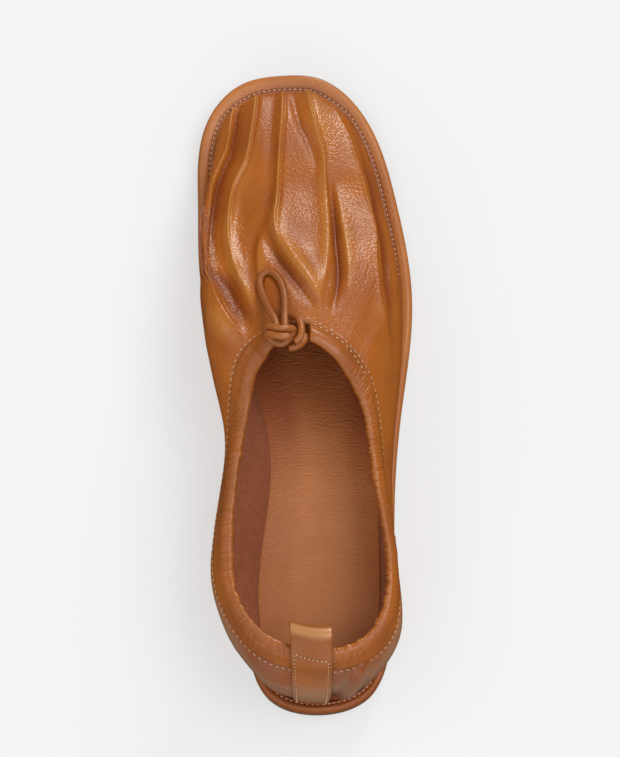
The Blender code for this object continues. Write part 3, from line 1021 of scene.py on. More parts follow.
def finish_piece(
    piece: bpy.types.Object, materials: Sequence[bpy.types.Material], slot: str, *stands_for: str
) -> bpy.types.Object:
    """Dresses a piece, lets it ride on the shoe and reports it.

    Args:
        piece: the finished object.
        materials: its materials in slot order.
        slot: the record's material slot that it belongs to.
        stands_for: CAD nodes that it replaces.

    Returns:
        The same object.
    """
    for material in materials:
        piece.data.materials.append(material)
    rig.ride(piece, "root")
    if stands_for:
        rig.replaces(piece, *stands_for)
    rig.slot(piece, slot)
    log.info("%s: %d faces, %s", piece.name, len(piece.data.polygons), ", ".join(m.name for m in materials))
    return piece


# ---------------------------------------------------------------- creases of the upper
class CreaseSpace(Enum):
    """How a crease's route is given."""

    PLAN = "x and y seen from above"
    WALL = "distance round the sole and share of the wall's height"


@dataclass(frozen=True)
class Lobe:
    """One swelling (or groove, if its height is negative) in a crease's cross-section.

    offset, medial and lateral are the place of its top and its reach towards either side.
    """

    height: float
    medial: float
    lateral: float
    offset: float = 0.0
    power: float = 2.0


@dataclass(frozen=True)
class Crease:
    """A fold of the leather: its route with a strength at each point, and its cross-section.

    A broad one shapes the leather but leaves its colour alone; the others are painted paler on top, partly as rubbed
    wear and partly as a painted highlight, and carry painted shade in their depths.
    """

    name: str
    route: Route
    lobes: tuple[Lobe, ...]
    space: CreaseSpace = CreaseSpace.PLAN
    broad: bool = False

    def relief(self, skin: Points, normal: Points, sheet: Points) -> np.ndarray:
        """How far the crease lifts each point.

        Args:
            skin: points on the plain surface.
            normal: the surface's direction at each of them.
            sheet: the surface's points that the route is laid on.

        Returns:
            A height for each point, in millimetres.
        """
        line = smooth_line(np.array(self.route), 0.7)
        if self.space is CreaseSpace.PLAN:
            near = nearest_of(line[:, :2], sheet[:, :2])
            path = np.column_stack([line[:, :2], sheet[near, 2]])
        else:
            path = FORM.wall_at(line[:, 0], line[:, 1])
        strength = np.clip(line[:, 2], 0, None)
        path = np.column_stack([path, strength])
        path = evenly(path, max(8, int(len(path) * 1.4)))
        spine = path[:, :3]
        tangent = unit(np.gradient(spine, axis=0))
        reach = 4 * max(max(lobe.medial, lobe.lateral) + abs(lobe.offset) for lobe in self.lobes)
        lift = np.zeros(len(skin))
        for part in batches_near(skin, spine, reach):
            nearest = nearest_of(skin[part], spine)
            step = skin[part] - spine[nearest]
            way = tangent[nearest]
            inside = (nearest > 0) & (nearest < len(path) - 1)
            along = np.einsum("ij,ij->i", step, way)
            across = np.linalg.norm(step - way * (along * inside)[:, None], axis=1)
            side = np.sign(np.einsum("ij,ij->i", np.cross(way, step), normal[part]))
            lateral = across * side
            total = np.zeros(len(part))
            for lobe in self.lobes:
                d = lateral - lobe.offset
                width = np.where(d < 0, lobe.medial, lobe.lateral)
                total += lobe.height * np.exp(-np.abs(d / width) ** lobe.power)
            lift[part] = total * path[nearest, 3]
        return lift


CREST = (Lobe(0.55, 0.75, 0.45, power=1.6), Lobe(-0.5, 0.35, 0.9, offset=0.95))

CREASES = (
    Crease(
        "gathered_puff",
        ((-38, 160, 0), (-27, 161, 0.8), (-9, 161, 1), (8, 159, 1), (21, 154, 0.7), (32, 145, 0)),
        (Lobe(2.2, 17, 17),), broad=True,
    ),
    Crease(
        "hollow_ahead_of_puff",
        ((-37, 191, 0), (-27, 201, 0.8), (-10, 207, 1), (8, 207, 1), (21, 201, 0.7), (32, 189, 0)),
        (Lobe(-1.3, 11, 11),), broad=True,
    ),
    Crease(
        "swell_behind_toe",
        ((-32, 230, 0), (-22, 236, 0.9), (-8, 239, 1), (6, 238, 0.9), (18, 232, 0)),
        (Lobe(0.5, 10, 10),), broad=True,
    ),
    Crease(
        "pleat_inner_side",
        ((328, 0.02, 0.9), (329.5, 0.1, 1), (330.5, 0.21, 1), (332.5, 0.33, 1.1), (340, 0.38, 1.2),
         (346.5, 0.41, 1.1), (352, 0.51, 0.7), (357, 0.6, 0.2), (361, 0.65, 0)),
        (Lobe(0.8, 2.2, 0.7, power=1.5), *CREST), CreaseSpace.WALL,
    ),
    Crease(
        "pleat_inner",
        ((-17, 255, 0.9), (-18, 248, 1), (-18.5, 242.5, 1), (-20.5, 230, 1.1), (-22.5, 221.5, 1.2),
         (-26.5, 213.5, 1.3), (-28.5, 208.5, 1.3), (-30, 200, 1.1), (-30.5, 190, 0.5), (-30, 182, 0)),
        (Lobe(1, 3.2, 4.6, power=1.5), *CREST),
    ),
    Crease(
        "pleat_inner_tail",
        ((-28.8, 208, 0), (-30.2, 199, 0.5), (-30.7, 188, 1.1), (-28.9, 176, 1.3), (-26.4, 167.5, 1.3),
         (-24, 161.5, 1), (-22, 155, 0.5), (-20.5, 150, 0)),
        (Lobe(1.9, 3.2, 3.2, power=1.6),),
    ),
    Crease(
        "pleat_middle",
        ((-6.5, 256, 0.9), (-7, 251, 1), (-7.5, 241, 1), (-9, 226.5, 1), (-10, 215, 1.1), (-11, 204, 1.1),
         (-12, 193.5, 0.8), (-11.5, 185, 0.3), (-9, 178, 0)),
        (Lobe(0.8, 2.3, 3.6, power=1.5), *CREST),
    ),
    Crease(
        "pleat_middle_tail",
        ((-11, 204, 0), (-12.1, 194, 0.6), (-10.9, 185, 1.1), (-7.6, 178, 1.3), (-4.3, 171, 1.3),
         (-1.1, 164.5, 1.1), (1.6, 158, 0.7), (4, 151, 0)),
        (Lobe(1.9, 2.4, 3.8, power=1.6),),
    ),
    Crease(
        "pleat_outer",
        ((2.5, 256, 0.9), (3, 250, 1), (4, 241, 1.1), (6, 232, 1.2), (8, 222.5, 1.1), (8.5, 211, 0.7),
         (9, 200, 0)),
        (Lobe(0.8, 2.8, 3.6, power=1.5), *CREST),
    ),
    Crease(
        "fall_outside_toe",
        ((3, 254, 0.8), (4.5, 243, 1), (8, 231, 0.6), (10, 219, 0)),
        (Lobe(1, 1.5, 9),),
    ),
    Crease(
        "pleat_outer_tail",
        ((7, 226, 0), (8.2, 215, 0.5), (8.7, 205, 0.9), (8.8, 196, 1.1), (8.4, 184.5, 1.1), (7.5, 176, 1),
         (6.5, 169, 0.8), (4.5, 161, 0.4), (2, 154, 0)),
        (Lobe(1.5, 3.6, 1.7, power=1.6),),
    ),
    Crease(
        "valley_beside_outer_pleat",
        ((-3.2, 251, 0.4), (-2.2, 246, 0.9), (-0.5, 237, 1.2), (2.5, 229, 1), (5, 220, 0.6), (6, 210, 0)),
        (Lobe(-1, 2, 1.8),),
    ),
    Crease(
        "valley_between_inner_pleats",
        ((327, 0.1, 0.5), (327.5, 0.15, 0.8), (328, 0.24, 0.9), (330.5, 0.36, 1), (337, 0.405, 1.1),
         (342, 0.44, 1.2), (347, 0.54, 1.1), (353, 0.63, 0.8), (356, 0.68, 0.4), (355, 0.73, 0)),
        (Lobe(-1.6, 1.2, 4.6),), CreaseSpace.WALL,
    ),
    Crease(
        "valley_left_of_middle_pleat",
        ((-9.8, 252, 0.4), (-10.5, 246, 0.9), (-11.5, 236, 1), (-12, 225, 1), (-13, 214, 1),
         (-14.5, 202.5, 0.9), (-17, 193, 0.8), (-20, 184.5, 0.8), (-21.4, 176, 0.7), (-21, 168, 0.4),
         (-20, 160, 0)),
        (Lobe(-1, 3, 1.8),),
    ),
    Crease(
        "valley_right_of_outer_pleat",
        ((10, 213, 0), (11, 204, 0.9), (11.5, 193.5, 1.3), (11.8, 182, 1.4), (12.1, 170, 1.3),
         (10.7, 159.5, 0.9), (9, 153, 0.4), (8, 148, 0)),
        (Lobe(-1.6, 1.7, 1.5),),
    ),
    Crease(
        "ridge_outer",
        ((11.5, 210, 0), (12.8, 203, 0.7), (14, 194, 1.1), (15.2, 183, 1.2), (15.8, 171, 1), (15, 160, 0.5),
         (14, 151, 0)),
        (Lobe(1.2, 1.5, 4.2, power=1.6),),
    ),
    Crease(
        "ridge_ahead_of_loop",
        ((-17.5, 192, 0), (-18, 185, 0.8), (-18.4, 178, 1), (-18, 170, 0.8), (-16, 162, 0)),
        (Lobe(1.2, 1.8, 4),),
    ),
    Crease(
        "shoulder_fold",
        ((12, 249, 0.3), (15, 241, 0.6), (18.5, 232.5, 0.8), (21.5, 221, 0.9), (23.5, 212, 1),
         (26, 199.5, 1.1), (27.5, 189, 1.2), (27, 176, 1.2), (27.4, 161, 1.1), (29, 150, 0.9),
         (30.5, 142.5, 0.6), (31, 126, 0)),
        (Lobe(0.35, 2.2, 1.2, power=1.6), Lobe(0.3, 0.6, 0.5)),
    ),
    Crease(
        "hollow_outside_shoulder",
        ((18, 245, 0), (24, 226, 0.6), (28.5, 205, 1), (31, 185, 1.1), (31.2, 165, 1), (32.5, 145, 0.5),
         (33, 130, 0)),
        (Lobe(-1.5, 2.2, 4),),
    ),
    Crease(
        "diagonal_valley",
        ((-16.5, 190, 0), (-15.1, 183.5, 0.6), (-11.4, 175, 1.1), (-7.6, 168, 1.3), (-3.8, 161.5, 1.2),
         (-0.4, 155.5, 0.7), (2, 150, 0)),
        (Lobe(-1.6, 2.6, 1.8),),
    ),
    Crease(
        "valley_inner_side",
        ((367, 0.67, 0.5), (356.5, 0.725, 0.9), (348.5, 0.775, 1.1), (345.5, 0.825, 1.2), (345, 0.885, 1.1),
         (343.5, 0.93, 0.7), (343, 0.965, 0)),
        (Lobe(-1.7, 5.5, 2.6),), CreaseSpace.WALL,
    ),
    Crease(
        "bulge_inner_side",
        ((394, 0.72, 0), (387, 0.76, 0.6), (381, 0.83, 1), (380, 0.89, 1.1), (381, 0.94, 0.5)),
        (Lobe(1.3, 6, 6),), CreaseSpace.WALL,
    ),
    Crease(
        "heel_fold_outer",
        ((22, 0.98, 0.2), (18, 0.88, 0.8), (14, 0.66, 1), (11, 0.42, 1.1), (8.5, 0.2, 0.9), (7, 0.08, 0.2)),
        (Lobe(1.5, 2, 3.2), Lobe(-1.2, 1.8, 1.8, offset=-3.4)), CreaseSpace.WALL, broad=True,
    ),
    Crease(
        "heel_pocket_outer",
        ((3.5, 0.72, 0), (3.2, 0.58, 0.9), (3.6, 0.44, 1.2), (4.2, 0.32, 1), (4.4, 0.18, 0.2)),
        (Lobe(-1.1, 2.6, 2.6),), CreaseSpace.WALL,
    ),
    Crease(
        "heel_dent_inner",
        ((567, 0.74, 0), (573, 0.66, 0.7), (579.5, 0.56, 1.1), (586, 0.54, 1.1), (592, 0.48, 0.6)),
        (Lobe(-1.4, 3, 2.2), Lobe(0.8, 2.6, 3, offset=4.4)), CreaseSpace.WALL, broad=True,
    ),
    Crease(
        "heel_swell_inner",
        ((566, 0.4, 0), (574, 0.34, 0.8), (582, 0.3, 1), (590, 0.28, 0.5)),
        (Lobe(0.9, 4, 4),), CreaseSpace.WALL, broad=True,
    ),
)


@dataclass
class Upper:
    """The gathered leather upper with its suede inside, as one closed sheet."""

    outer_rows: int = 97
    inner_rows: int = 24
    columns: int = 784
    side_density: float = 0.70
    toe_density: float = 1.75
    foot_drop: float = 0.85
    top_rise: float = 0.35
    full_lift: float = 1.6
    cord_reach: float = 8.0
    cord_gap: float = 0.12
    cord_flare: float = 0.36
    stations: np.ndarray = field(init=False)
    row_share: np.ndarray = field(init=False)
    row_depth: np.ndarray = field(init=False)
    row_drop: np.ndarray = field(init=False)
    rows: int = field(init=False)
    lift: np.ndarray = field(init=False)

    def __post_init__(self) -> None:
        """Works out the mesh's stations and the leather's relief."""
        self.stations = self._stations()
        shares = np.linspace(0, 1, self.outer_rows) ** 1.08
        inside = np.linspace(1, 0, self.inner_rows)
        self.row_share = np.concatenate([[0.0], shares, [1.0], inside, [0.0]])
        outer, inner = np.zeros(self.outer_rows), np.zeros(self.inner_rows)
        self.row_depth = np.concatenate([[0.0], outer, [FORM.wall / 2], inner + FORM.wall, [0.0]])
        self.row_drop = np.concatenate([[self.foot_drop], outer, [-self.top_rise], inner, [self.foot_drop]])
        self.rows = len(self.row_share) - 1
        self.lift = np.zeros(0)

    def _stations(self) -> np.ndarray:
        """Distances round the sole of the mesh's columns, closest together at the toe.

        Returns:
            One distance for each column's edge.
        """
        fine = np.linspace(0, FORM.around, 4001)
        start, stop = FORM.knots[6] + 18, FORM.knots[14] - 6
        toe = eased((fine - start) / 30) * eased((stop - fine) / 30)
        density = self.side_density + self.toe_density * toe
        run = running((density[1:] + density[:-1]) / 2)
        return np.interp(np.linspace(0, run[-1], self.columns + 1), run, fine)

    def place(self, along: np.ndarray, across: np.ndarray) -> Points:
        """The mesh's points for shares along and across it.

        Args:
            along: shares along the mesh.
            across: shares across the mesh.

        Returns:
            The points, in millimetres from the heel.
        """
        s = FORM.closed(rows_as(self.stations, along))
        v, depth, drop = (rows_as(rows, across) for rows in (self.row_share, self.row_depth, self.row_drop))
        plain = FORM.wall_at(s, v)
        normal = FORM.wall_normal(s, v)
        sheet = plain[(depth < 0.1) & (normal[:, 2] > 0.15)][::3]
        fade = eased(v / 0.02) * eased((1.0 - v) / 0.05)
        fine = np.zeros(len(s))
        broad = 0.12 * lumps(plain, 9.0, 3) + 0.02 * lumps(plain, 3.2, 4)
        for crease in CREASES:
            relief = broad if crease.broad else fine
            relief += crease.relief(plain, normal, sheet)
        self.lift = fine * fade
        height = np.minimum((fine + broad) * fade, self.under_cord(plain, normal))
        bottom = np.stack([np.zeros(len(s)), np.zeros(len(s)), -drop], axis=1)
        return plain + normal * (height - depth)[:, None] + bottom

    def under_cord(self, plain: Points, normal: Points) -> np.ndarray:
        """How high the leather may stand at each point before it meets the loop of cord that lies on it.

        Args:
            plain: points on the plain surface.
            normal: the surface's direction at each.

        Returns:
            A height for each, without limit away from the cord.
        """
        cord = Drawstring()
        line = smooth_line(cord.knot_place(cord.loop), 0.5)
        ceiling = np.full(len(plain), np.inf)
        for part in batches_near(plain, line, self.cord_reach):
            step = line[None, :, :] - plain[part][:, None, :]
            up = np.einsum("ijk,ik->ij", step, normal[part])
            aside = np.sqrt(np.clip(np.sum(step**2, axis=2) - up**2, 0, None))
            below = up - cord.diameter / 2 - self.cord_gap + self.cord_flare * aside**2
            ceiling[part] = below.min(axis=1)
        return ceiling

    def ridge(self, along: np.ndarray, across: np.ndarray) -> np.ndarray:
        """How proud each point stands of its neighbours, for crests painted paler: partly rubbed wear, partly a
        painted highlight.
        """
        return np.clip(self.lift / self.full_lift, 0, 1)

    def shade(self, along: np.ndarray, across: np.ndarray) -> np.ndarray:
        """Painted shade: how deep each point lies in a valley or in the seam at the sole, with painted shade round the
        heel.

        Args:
            along: shares along the mesh.
            across: shares across the mesh.

        Returns:
            A share for each point, 1 in the darkest.
        """
        deep = np.clip(-self.lift / self.full_lift, 0, 1)
        foot = 1 - eased(rows_as(self.row_share, across) / 0.03)
        heel = FORM.near_heel(rows_as(self.stations, along), 46, 40)
        return np.clip(deep * 0.65 + foot * 0.5 + heel * 0.55, 0, 1)

    def smooth(self, along: np.ndarray, across: np.ndarray) -> np.ndarray:
        """How far the grain is pulled flat and a painted sheen laid on, most of all round the heel."""
        heel = FORM.near_heel(rows_as(self.stations, along), 66, 46)
        return heel * eased((rows_as(self.row_share, across) - 0.12) / 0.35)

    def build(self, leather: bpy.types.Material, suede: bpy.types.Material) -> bpy.types.Object:
        """Makes and dresses the upper.

        Args:
            leather: the finish outside.
            suede: the finish inside.

        Returns:
            The piece.
        """
        piece = surface(
            "upper_leather", self.columns, self.rows, self.place,
            {"ridge": self.ridge, "shade": self.shade, "smooth": self.smooth},
        )
        mesh = piece.data
        uv = np.empty(len(mesh.loops) * 2, np.float32)
        mesh.uv_layers[0].data.foreach_get("uv", uv)
        start = np.empty(len(mesh.polygons), np.int32)
        mesh.polygons.foreach_get("loop_start", start)
        across = np.minimum.reduceat(uv[1::2], np.sort(start))
        order = np.argsort(np.argsort(start))
        inside = across[order] >= (self.outer_rows + 0.5) / self.rows
        mesh.polygons.foreach_set("material_index", inside.astype(np.int32))
        return finish_piece(piece, (leather, suede), "tan_leather", "upper")


# ---------------------------------------------------------------- plates of the sole
Inset = Callable[[np.ndarray, np.ndarray], np.ndarray]


@dataclass
class Plate:
    """A closed plate over the sole's outline: rows of inset and height from its bottom edge to its top.

    follow is how much of the wall's outward lean its edge takes up.
    """

    name: str
    profile: Route
    floor: Callable[[np.ndarray], np.ndarray]
    inset_of: Inset
    thickness: Callable[[np.ndarray], np.ndarray]
    inner: float
    cap_rows: int = 4
    profile_step: float = 0.45
    columns: int = 820
    follow: float = 0.0
    levels: list[Triple] = field(init=False)

    def __post_init__(self) -> None:
        """Lists the plate's rows: how far to the spine, inset and height."""
        line = smooth_line(np.array(self.profile), self.profile_step)
        low, high = self.profile[0], self.profile[-1]
        bottom = [(1 - k / self.cap_rows, self.inner, low[1]) for k in range(self.cap_rows + 1)]
        top = [(k / self.cap_rows, self.inner, high[1]) for k in range(self.cap_rows + 1)]
        self.levels = [*bottom, *[(0.0, float(a), float(b)) for a, b in line], *top]

    def place(self, along: np.ndarray, across: np.ndarray) -> Points:
        """The plate's points for shares along and across its mesh.

        Args:
            along: shares along the mesh.
            across: shares across the mesh.

        Returns:
            The points, in millimetres from the heel.
        """
        s = FORM.closed(along * FORM.around)
        table = np.array(self.levels)
        spine, inset, height = (rows_as(table[:, k], across) for k in range(3))
        row = FORM.curve.at(s)
        lean = np.clip(row[:, 8] / row[:, 7], 0, 1) * np.maximum(height - 0.7, 0) * (spine < 0.01)
        ring = FORM.edge(s, self.inset_of(inset, row[:, 1]) - self.follow * lean)
        plan = ring + (FORM.spine(s) - ring) * spine[:, None]
        z = self.floor(plan[:, 1]) + height * self.thickness(plan[:, 1])
        return np.column_stack([plan, z])

    def build(self, layers: dict[str, Place] | None = None) -> bpy.types.Object:
        """Makes the plate's mesh."""
        return surface(self.name, self.columns, len(self.levels) - 1, self.place, layers)


def as_given(inset: np.ndarray, y: np.ndarray) -> np.ndarray:
    """An inset as it is stated."""
    return inset


def by_border(inset: np.ndarray, y: np.ndarray) -> np.ndarray:
    """An inset stated for the side's border, scaled to the border's width at y."""
    return inset * FORM.border_width(y) / FORM.border_side


def inside_upper(inset: np.ndarray, y: np.ndarray) -> np.ndarray:
    """An inset counted from the inside of the upper's wall."""
    return FORM.border_width(y) + FORM.upper_clear + FORM.wall + 1.2 + inset


def one(y: np.ndarray) -> np.ndarray:
    """No scaling of heights."""
    return np.ones_like(y)


@dataclass
class Sole:
    """The rubber outsole, the leather-wrapped platform and the sock inside."""

    outsole_profile: Route = ((1.3, 0.0), (0.55, 0.08), (0.3, 0.3), (0.3, 0.75), (0.4, 0.93), (0.9, 1.0))
    border_profile: Route = (
        (1.4, -0.1), (0.5, 0.5), (0.1, 1.5), (0.0, 2.8), (0.15, 4.1), (0.6, 5.2), (1.3, 5.75), (2.2, 5.85),
        (3.2, 5.65), (3.85, 5.4), (4.2, 5.25), (4.55, 5.4), (4.9, 5.55), (5.2, 5.45), (5.5, 4.9), (6.4, 4.7),
    )
    sock_profile: Route = ((-0.8, 0.0), (-1.0, 0.7), (-1.05, 1.6), (-0.9, 2.1), (-0.3, 2.34), (1.2, 2.4))
    groove_inset: float = 4.2
    groove_half: float = 0.6
    stitch_height: float = 5.2

    def build(
        self, rubber: bpy.types.Material, border: bpy.types.Material, sock: bpy.types.Material
    ) -> list[bpy.types.Object]:
        """Makes and dresses the three plates.

        Args:
            rubber: the outsole's finish.
            border: the platform's finish.
            sock: the sock's finish.

        Returns:
            The three pieces.
        """
        outsole = Plate(
            "outsole_rubber", self.outsole_profile, FORM.ground, as_given, FORM.outsole_thickness, 8.0,
            profile_step=0.3,
        )
        wrap = Plate("platform_wrap", self.border_profile, FORM.platform_floor, by_border, one, 9.0)
        insole = Plate(
            "sock_leather", self.sock_profile, FORM.bed, inside_upper, one, 7.0,
            cap_rows=14, profile_step=0.3, columns=420, follow=1.0,
        )
        groove = np.array([self.depth_of_groove(inset, height) for _, inset, height in wrap.levels])
        reach = np.array([spine for spine, _, _ in insole.levels])

        def shade(along: np.ndarray, across: np.ndarray) -> np.ndarray:
            """Painted shade: darkest in the groove beside the upper and under its edge, and darker round the heel."""
            return np.clip(rows_as(groove, across) + 0.6 * FORM.near_heel(along * FORM.around, 66, 45), 0, 1)

        def painted_sock_shade(along: np.ndarray, across: np.ndarray) -> np.ndarray:
            """Painted shade: darker and richer in colour beside the wall, and darker under the throat."""
            y = insole.place(along, across)[:, 1]
            return 0.26 * eased((0.6 - rows_as(reach, across)) / 0.6) + 0.5 * eased((y - 84) / 46)

        return [
            finish_piece(outsole.build(), (rubber,), "brown_rubber", "outsole"),
            finish_piece(wrap.build({"shade": shade}), (border,), "tan_leather", "platform"),
            finish_piece(insole.build({"shade": painted_sock_shade}), (sock,), "insole_leather", "insole"),
        ]

    def depth_of_groove(self, inset: float, height: float) -> float:
        """How deep in the stitched groove, or under the upper, a point of the border lies.

        Args:
            inset: how far in from the border's edge.
            height: its height in the border's profile.

        Returns:
            A share, 1 in the middle of either.
        """
        if height <= 4:
            return 0.0
        return math.exp(-(((inset - self.groove_inset) / self.groove_half) ** 2)) + (5.5 < inset < 6.6)


# ---------------------------------------------------------------- collar casing
@dataclass
class CollarCasing:
    """The padded casing round the opening: a folded strip with a cord inside, parted at the throat."""

    thickness: float = 4.4
    columns: int = 1640
    around: int = 32
    end_radius: float = 2.0
    slack: float = 25.0
    tightening: float = 90.0
    start: float = field(init=False)
    stop: float = field(init=False)

    def __post_init__(self) -> None:
        """Sets where its two ends are."""
        self.start = float(FORM.knots[11]) + 17.0
        self.stop = float(FORM.knots[9]) + 4.0 + FORM.around

    def from_throat(self, s: np.ndarray) -> np.ndarray:
        """How far each place is from the casing's nearer end."""
        return np.minimum(s - self.start, self.stop - s)

    def gather(self, s: np.ndarray) -> np.ndarray:
        """How tightly the cord gathers the casing: slack by the throat, tight at the heel and sides."""
        return eased((self.from_throat(s) - self.slack) / self.tightening)

    def place(self, along: np.ndarray, across: np.ndarray) -> Points:
        """The casing's points for shares along it and once round it.

        Args:
            along: shares along the mesh.
            across: shares across the mesh.

        Returns:
            The points, in millimetres from the heel.
        """
        s = self.start + (self.stop - self.start) * along
        centre, _, height, outward = FORM.casing_at(s)
        angle = once_round(across)
        up = np.sin(angle)
        out = np.cos(angle)
        half_height = FORM.band_width / 2
        pinch = 0.5 + 0.5 * eased((up + 1.0) / 1.1)
        from_end = self.from_throat(s)
        cap = round_end(from_end, self.end_radius)
        tight = self.gather(s)
        pucker = self.puckers(s, angle) * tight
        broad = 0.22 * lumps(np.column_stack([s, angle * 3.0]), 11.0, 21) * (0.3 + 0.7 * tight)
        swell = (pucker + broad) * eased((up + 0.95) / 0.5)
        lip = eased((-up - 0.2) / 0.8) * cap
        reach_out = out * (self.thickness / 2 * pinch + swell) * cap + 0.45 * lip
        reach_up = up * (half_height + swell * 0.8) * (0.35 + 0.65 * cap) - 0.8 * lip
        reach_up = np.where(from_end <= 0, up * 0.0, reach_up)
        return centre + outward * reach_out[:, None] + height * reach_up[:, None]

    def puckers(self, s: np.ndarray, angle: np.ndarray) -> np.ndarray:
        """Small radial gathers, finest on the inner side.

        Args:
            s: distances round the sole.
            angle: angles round the casing's section.

        Returns:
            A height for each, in millimetres.
        """
        lean = s + 0.9 * np.sin(angle)
        crimps = np.abs(lumps(np.column_stack([lean / 1.9, angle * 0.5]), 1.0, 11)) - 0.35
        threads = np.abs(lumps(np.column_stack([lean / 0.95, angle * 0.35]), 1.0, 13)) - 0.35
        slow = lumps(np.column_stack([lean / 5.2, angle * 0.4]), 1.0, 12)
        inner = 0.3 + 0.7 * eased((0.75 - np.cos(angle)) / 1.2)
        return (0.85 * crimps + 0.22 * slow) * inner + 0.30 * threads

    def ridge(self, along: np.ndarray, across: np.ndarray) -> np.ndarray:
        """Paler along the crown: partly rubbed wear, partly a painted highlight."""
        return 0.35 * eased(np.sin(across * math.tau) * 1.4 - 0.4)

    def build(self, leather: bpy.types.Material) -> bpy.types.Object:
        """Makes and dresses the casing."""
        piece = surface("collar_casing_leather", self.columns, self.around, self.place, {"ridge": self.ridge})
        return finish_piece(piece, (leather,), "tan_leather", "collar_casing")


# ---------------------------------------------------------------- pull tab
@dataclass
class PullTab:
    """A leather strip up the back seam that folds over the casing into a loop."""

    thickness: float = 1.3
    middle: float = -3.9
    on_wall: Route = (
        (0.05, 12.9), (0.13, 13.1), (0.22, 13.4), (0.36, 13.8), (0.5, 14.2), (0.64, 14.6), (0.78, 15),
        (0.9, 15.3),
    )
    over_casing: Route = (
        (-4.6, 2, 15.6), (-2.6, 2.9, 15.8), (0, 3.2, 16), (3, 3.1, 16), (6, 2.9, 16), (8.8, 2.5, 16),
        (11, 1.5, 16), (12.2, -0.6, 16), (11.8, -3.2, 16), (9.6, -4.9, 16), (6.8, -5.1, 15.6),
        (4, -4.4, 15.2), (0, -3.3, 15), (-3.6, -2.9, 15),
    )
    inside: Route = ((0.9, 15), (0.8, 15), (0.7, 15))
    columns: int = 14
    around: int = 36
    steps: int = 150
    end_rows: float = 1.5
    middle_rows: np.ndarray = field(init=False)

    def __post_init__(self) -> None:
        """Lays the strip's middle surface out as rows of points."""
        shares = np.linspace(0, 1, self.columns + 1) - 0.5
        lift = FORM.gap * 0.4 + self.thickness / 2
        curves = [(self._by_wall(v, lift), width) for v, width in self.on_wall]
        curves += [(self._by_casing(up, out), width) for up, out, width in self.over_casing]
        curves += [(self._by_wall(v, -(FORM.wall + lift)), width) for v, width in self.inside]
        rows = [self._across(shares * width, curve) for curve, width in curves]
        lines = [smooth_line(np.array([row[k] for row in rows]), 0.55) for k in range(self.columns + 1)]
        self.middle_rows = np.stack([evenly(line, self.steps + 1) for line in lines], axis=1)

    def _by_wall(self, share: float, lift: float) -> Callable[[np.ndarray], Points]:
        """The curve round the heel at a share of the wall's height, lifted off it."""
        return lambda s: FORM.wall_at(s, np.full_like(s, share)) + FORM.wall_normal(s, share) * lift

    def _by_casing(self, up: float, out: float) -> Callable[[np.ndarray], Points]:
        """The curve round the heel that lies up and out from the casing's centre.

        Args:
            up: how far up.
            out: how far out.

        Returns:
            A function from distances round the sole to points.
        """

        def point_at(s: np.ndarray) -> Points:
            """Points of the curve."""
            centre, _, height, outward = FORM.casing_at(s)
            return centre + height * up + outward * out

        return point_at

    def _across(self, offsets: np.ndarray, point_at: Callable[[np.ndarray], Points]) -> Points:
        """The points of a curve round the heel that lie at given offsets from the tab's middle.

        Args:
            offsets: the offsets.
            point_at: the curve, as points at distances round the sole.

        Returns:
            The points, in millimetres from the heel.
        """
        low, high = np.full(len(offsets), -30.0), np.full(len(offsets), 30.0)
        for _ in range(26):
            middle = (low + high) / 2
            left = point_at(middle)[:, 0] < self.middle + offsets
            low, high = np.where(left, middle, low), np.where(left, high, middle)
        return point_at((low + high) / 2)

    def frame_at(self, row: np.ndarray, share: np.ndarray) -> tuple[Points, Points]:
        """Points of the middle surface and its outward direction there.

        Args:
            row: places along the strip, in its rows.
            share: shares across it.

        Returns:
            The points and the directions.
        """
        grid = self.middle_rows
        i = np.clip(row, 0, self.steps)
        low = np.minimum(np.floor(i).astype(int), self.steps - 1)
        f = (i - low)[:, None]
        j = np.clip(share, 0, 1) * self.columns
        left = np.minimum(np.floor(j).astype(int), self.columns - 1)
        g = (j - left)[:, None]

        def pick(a: np.ndarray) -> Points:
            """Points of the grid's rows a, between two of its columns."""
            return grid[a, left] * (1 - g) + grid[a, left + 1] * g

        here = pick(low) * (1 - f) + pick(low + 1) * f
        way = unit(pick(np.minimum(low + 2, self.steps)) - pick(np.maximum(low - 1, 0)))
        side = unit(grid[low, left + 1] - grid[low, left])
        return here, unit(np.cross(side, way))

    def place(self, along: np.ndarray, across: np.ndarray) -> Points:
        """The strip's points: along its run, and once round its rounded edges.

        Args:
            along: shares along the mesh.
            across: shares across the mesh.

        Returns:
            The points, in millimetres from the heel.
        """
        turns = once_round(across)
        wide, thick = np.cos(turns), np.sin(turns)
        square = np.sign(wide) * np.abs(wide) ** 0.35
        level = np.sign(thick) * np.abs(thick) ** 0.5
        here, out = self.frame_at(along * self.steps, (square + 1) / 2)
        cap = round_end(np.minimum(along, 1 - along) * self.steps, self.end_rows)
        rounded = level * self.thickness / 2 * cap
        uneven = 0.10 * lumps(here, 6.0, 31)
        return here + out * (rounded + uneven)[:, None]

    def build(self, leather: bpy.types.Material) -> bpy.types.Object:
        """Makes and dresses the strip.

        Args:
            leather: its finish.

        Returns:
            The piece.
        """

        def shade(along: np.ndarray, across: np.ndarray) -> np.ndarray:
            """Darker raw edges, and painted shade over the foot."""
            foot = 1 - eased((along * self.steps - 9 - 1.5 * np.sin(across * math.tau * 1.5)) / 4)
            return np.maximum(0.6 * np.abs(np.cos(across * math.tau)) ** 12, 0.4 * foot)

        crest = float(np.argmax(self.middle_rows[:, self.columns // 2, 2]))

        def ridge(along: np.ndarray, across: np.ndarray) -> np.ndarray:
            """Paler where it folds over: a painted highlight along the fold, with some rubbed wear."""
            return np.exp(-(((along * self.steps - crest - 1.0) / 4.5) ** 2))

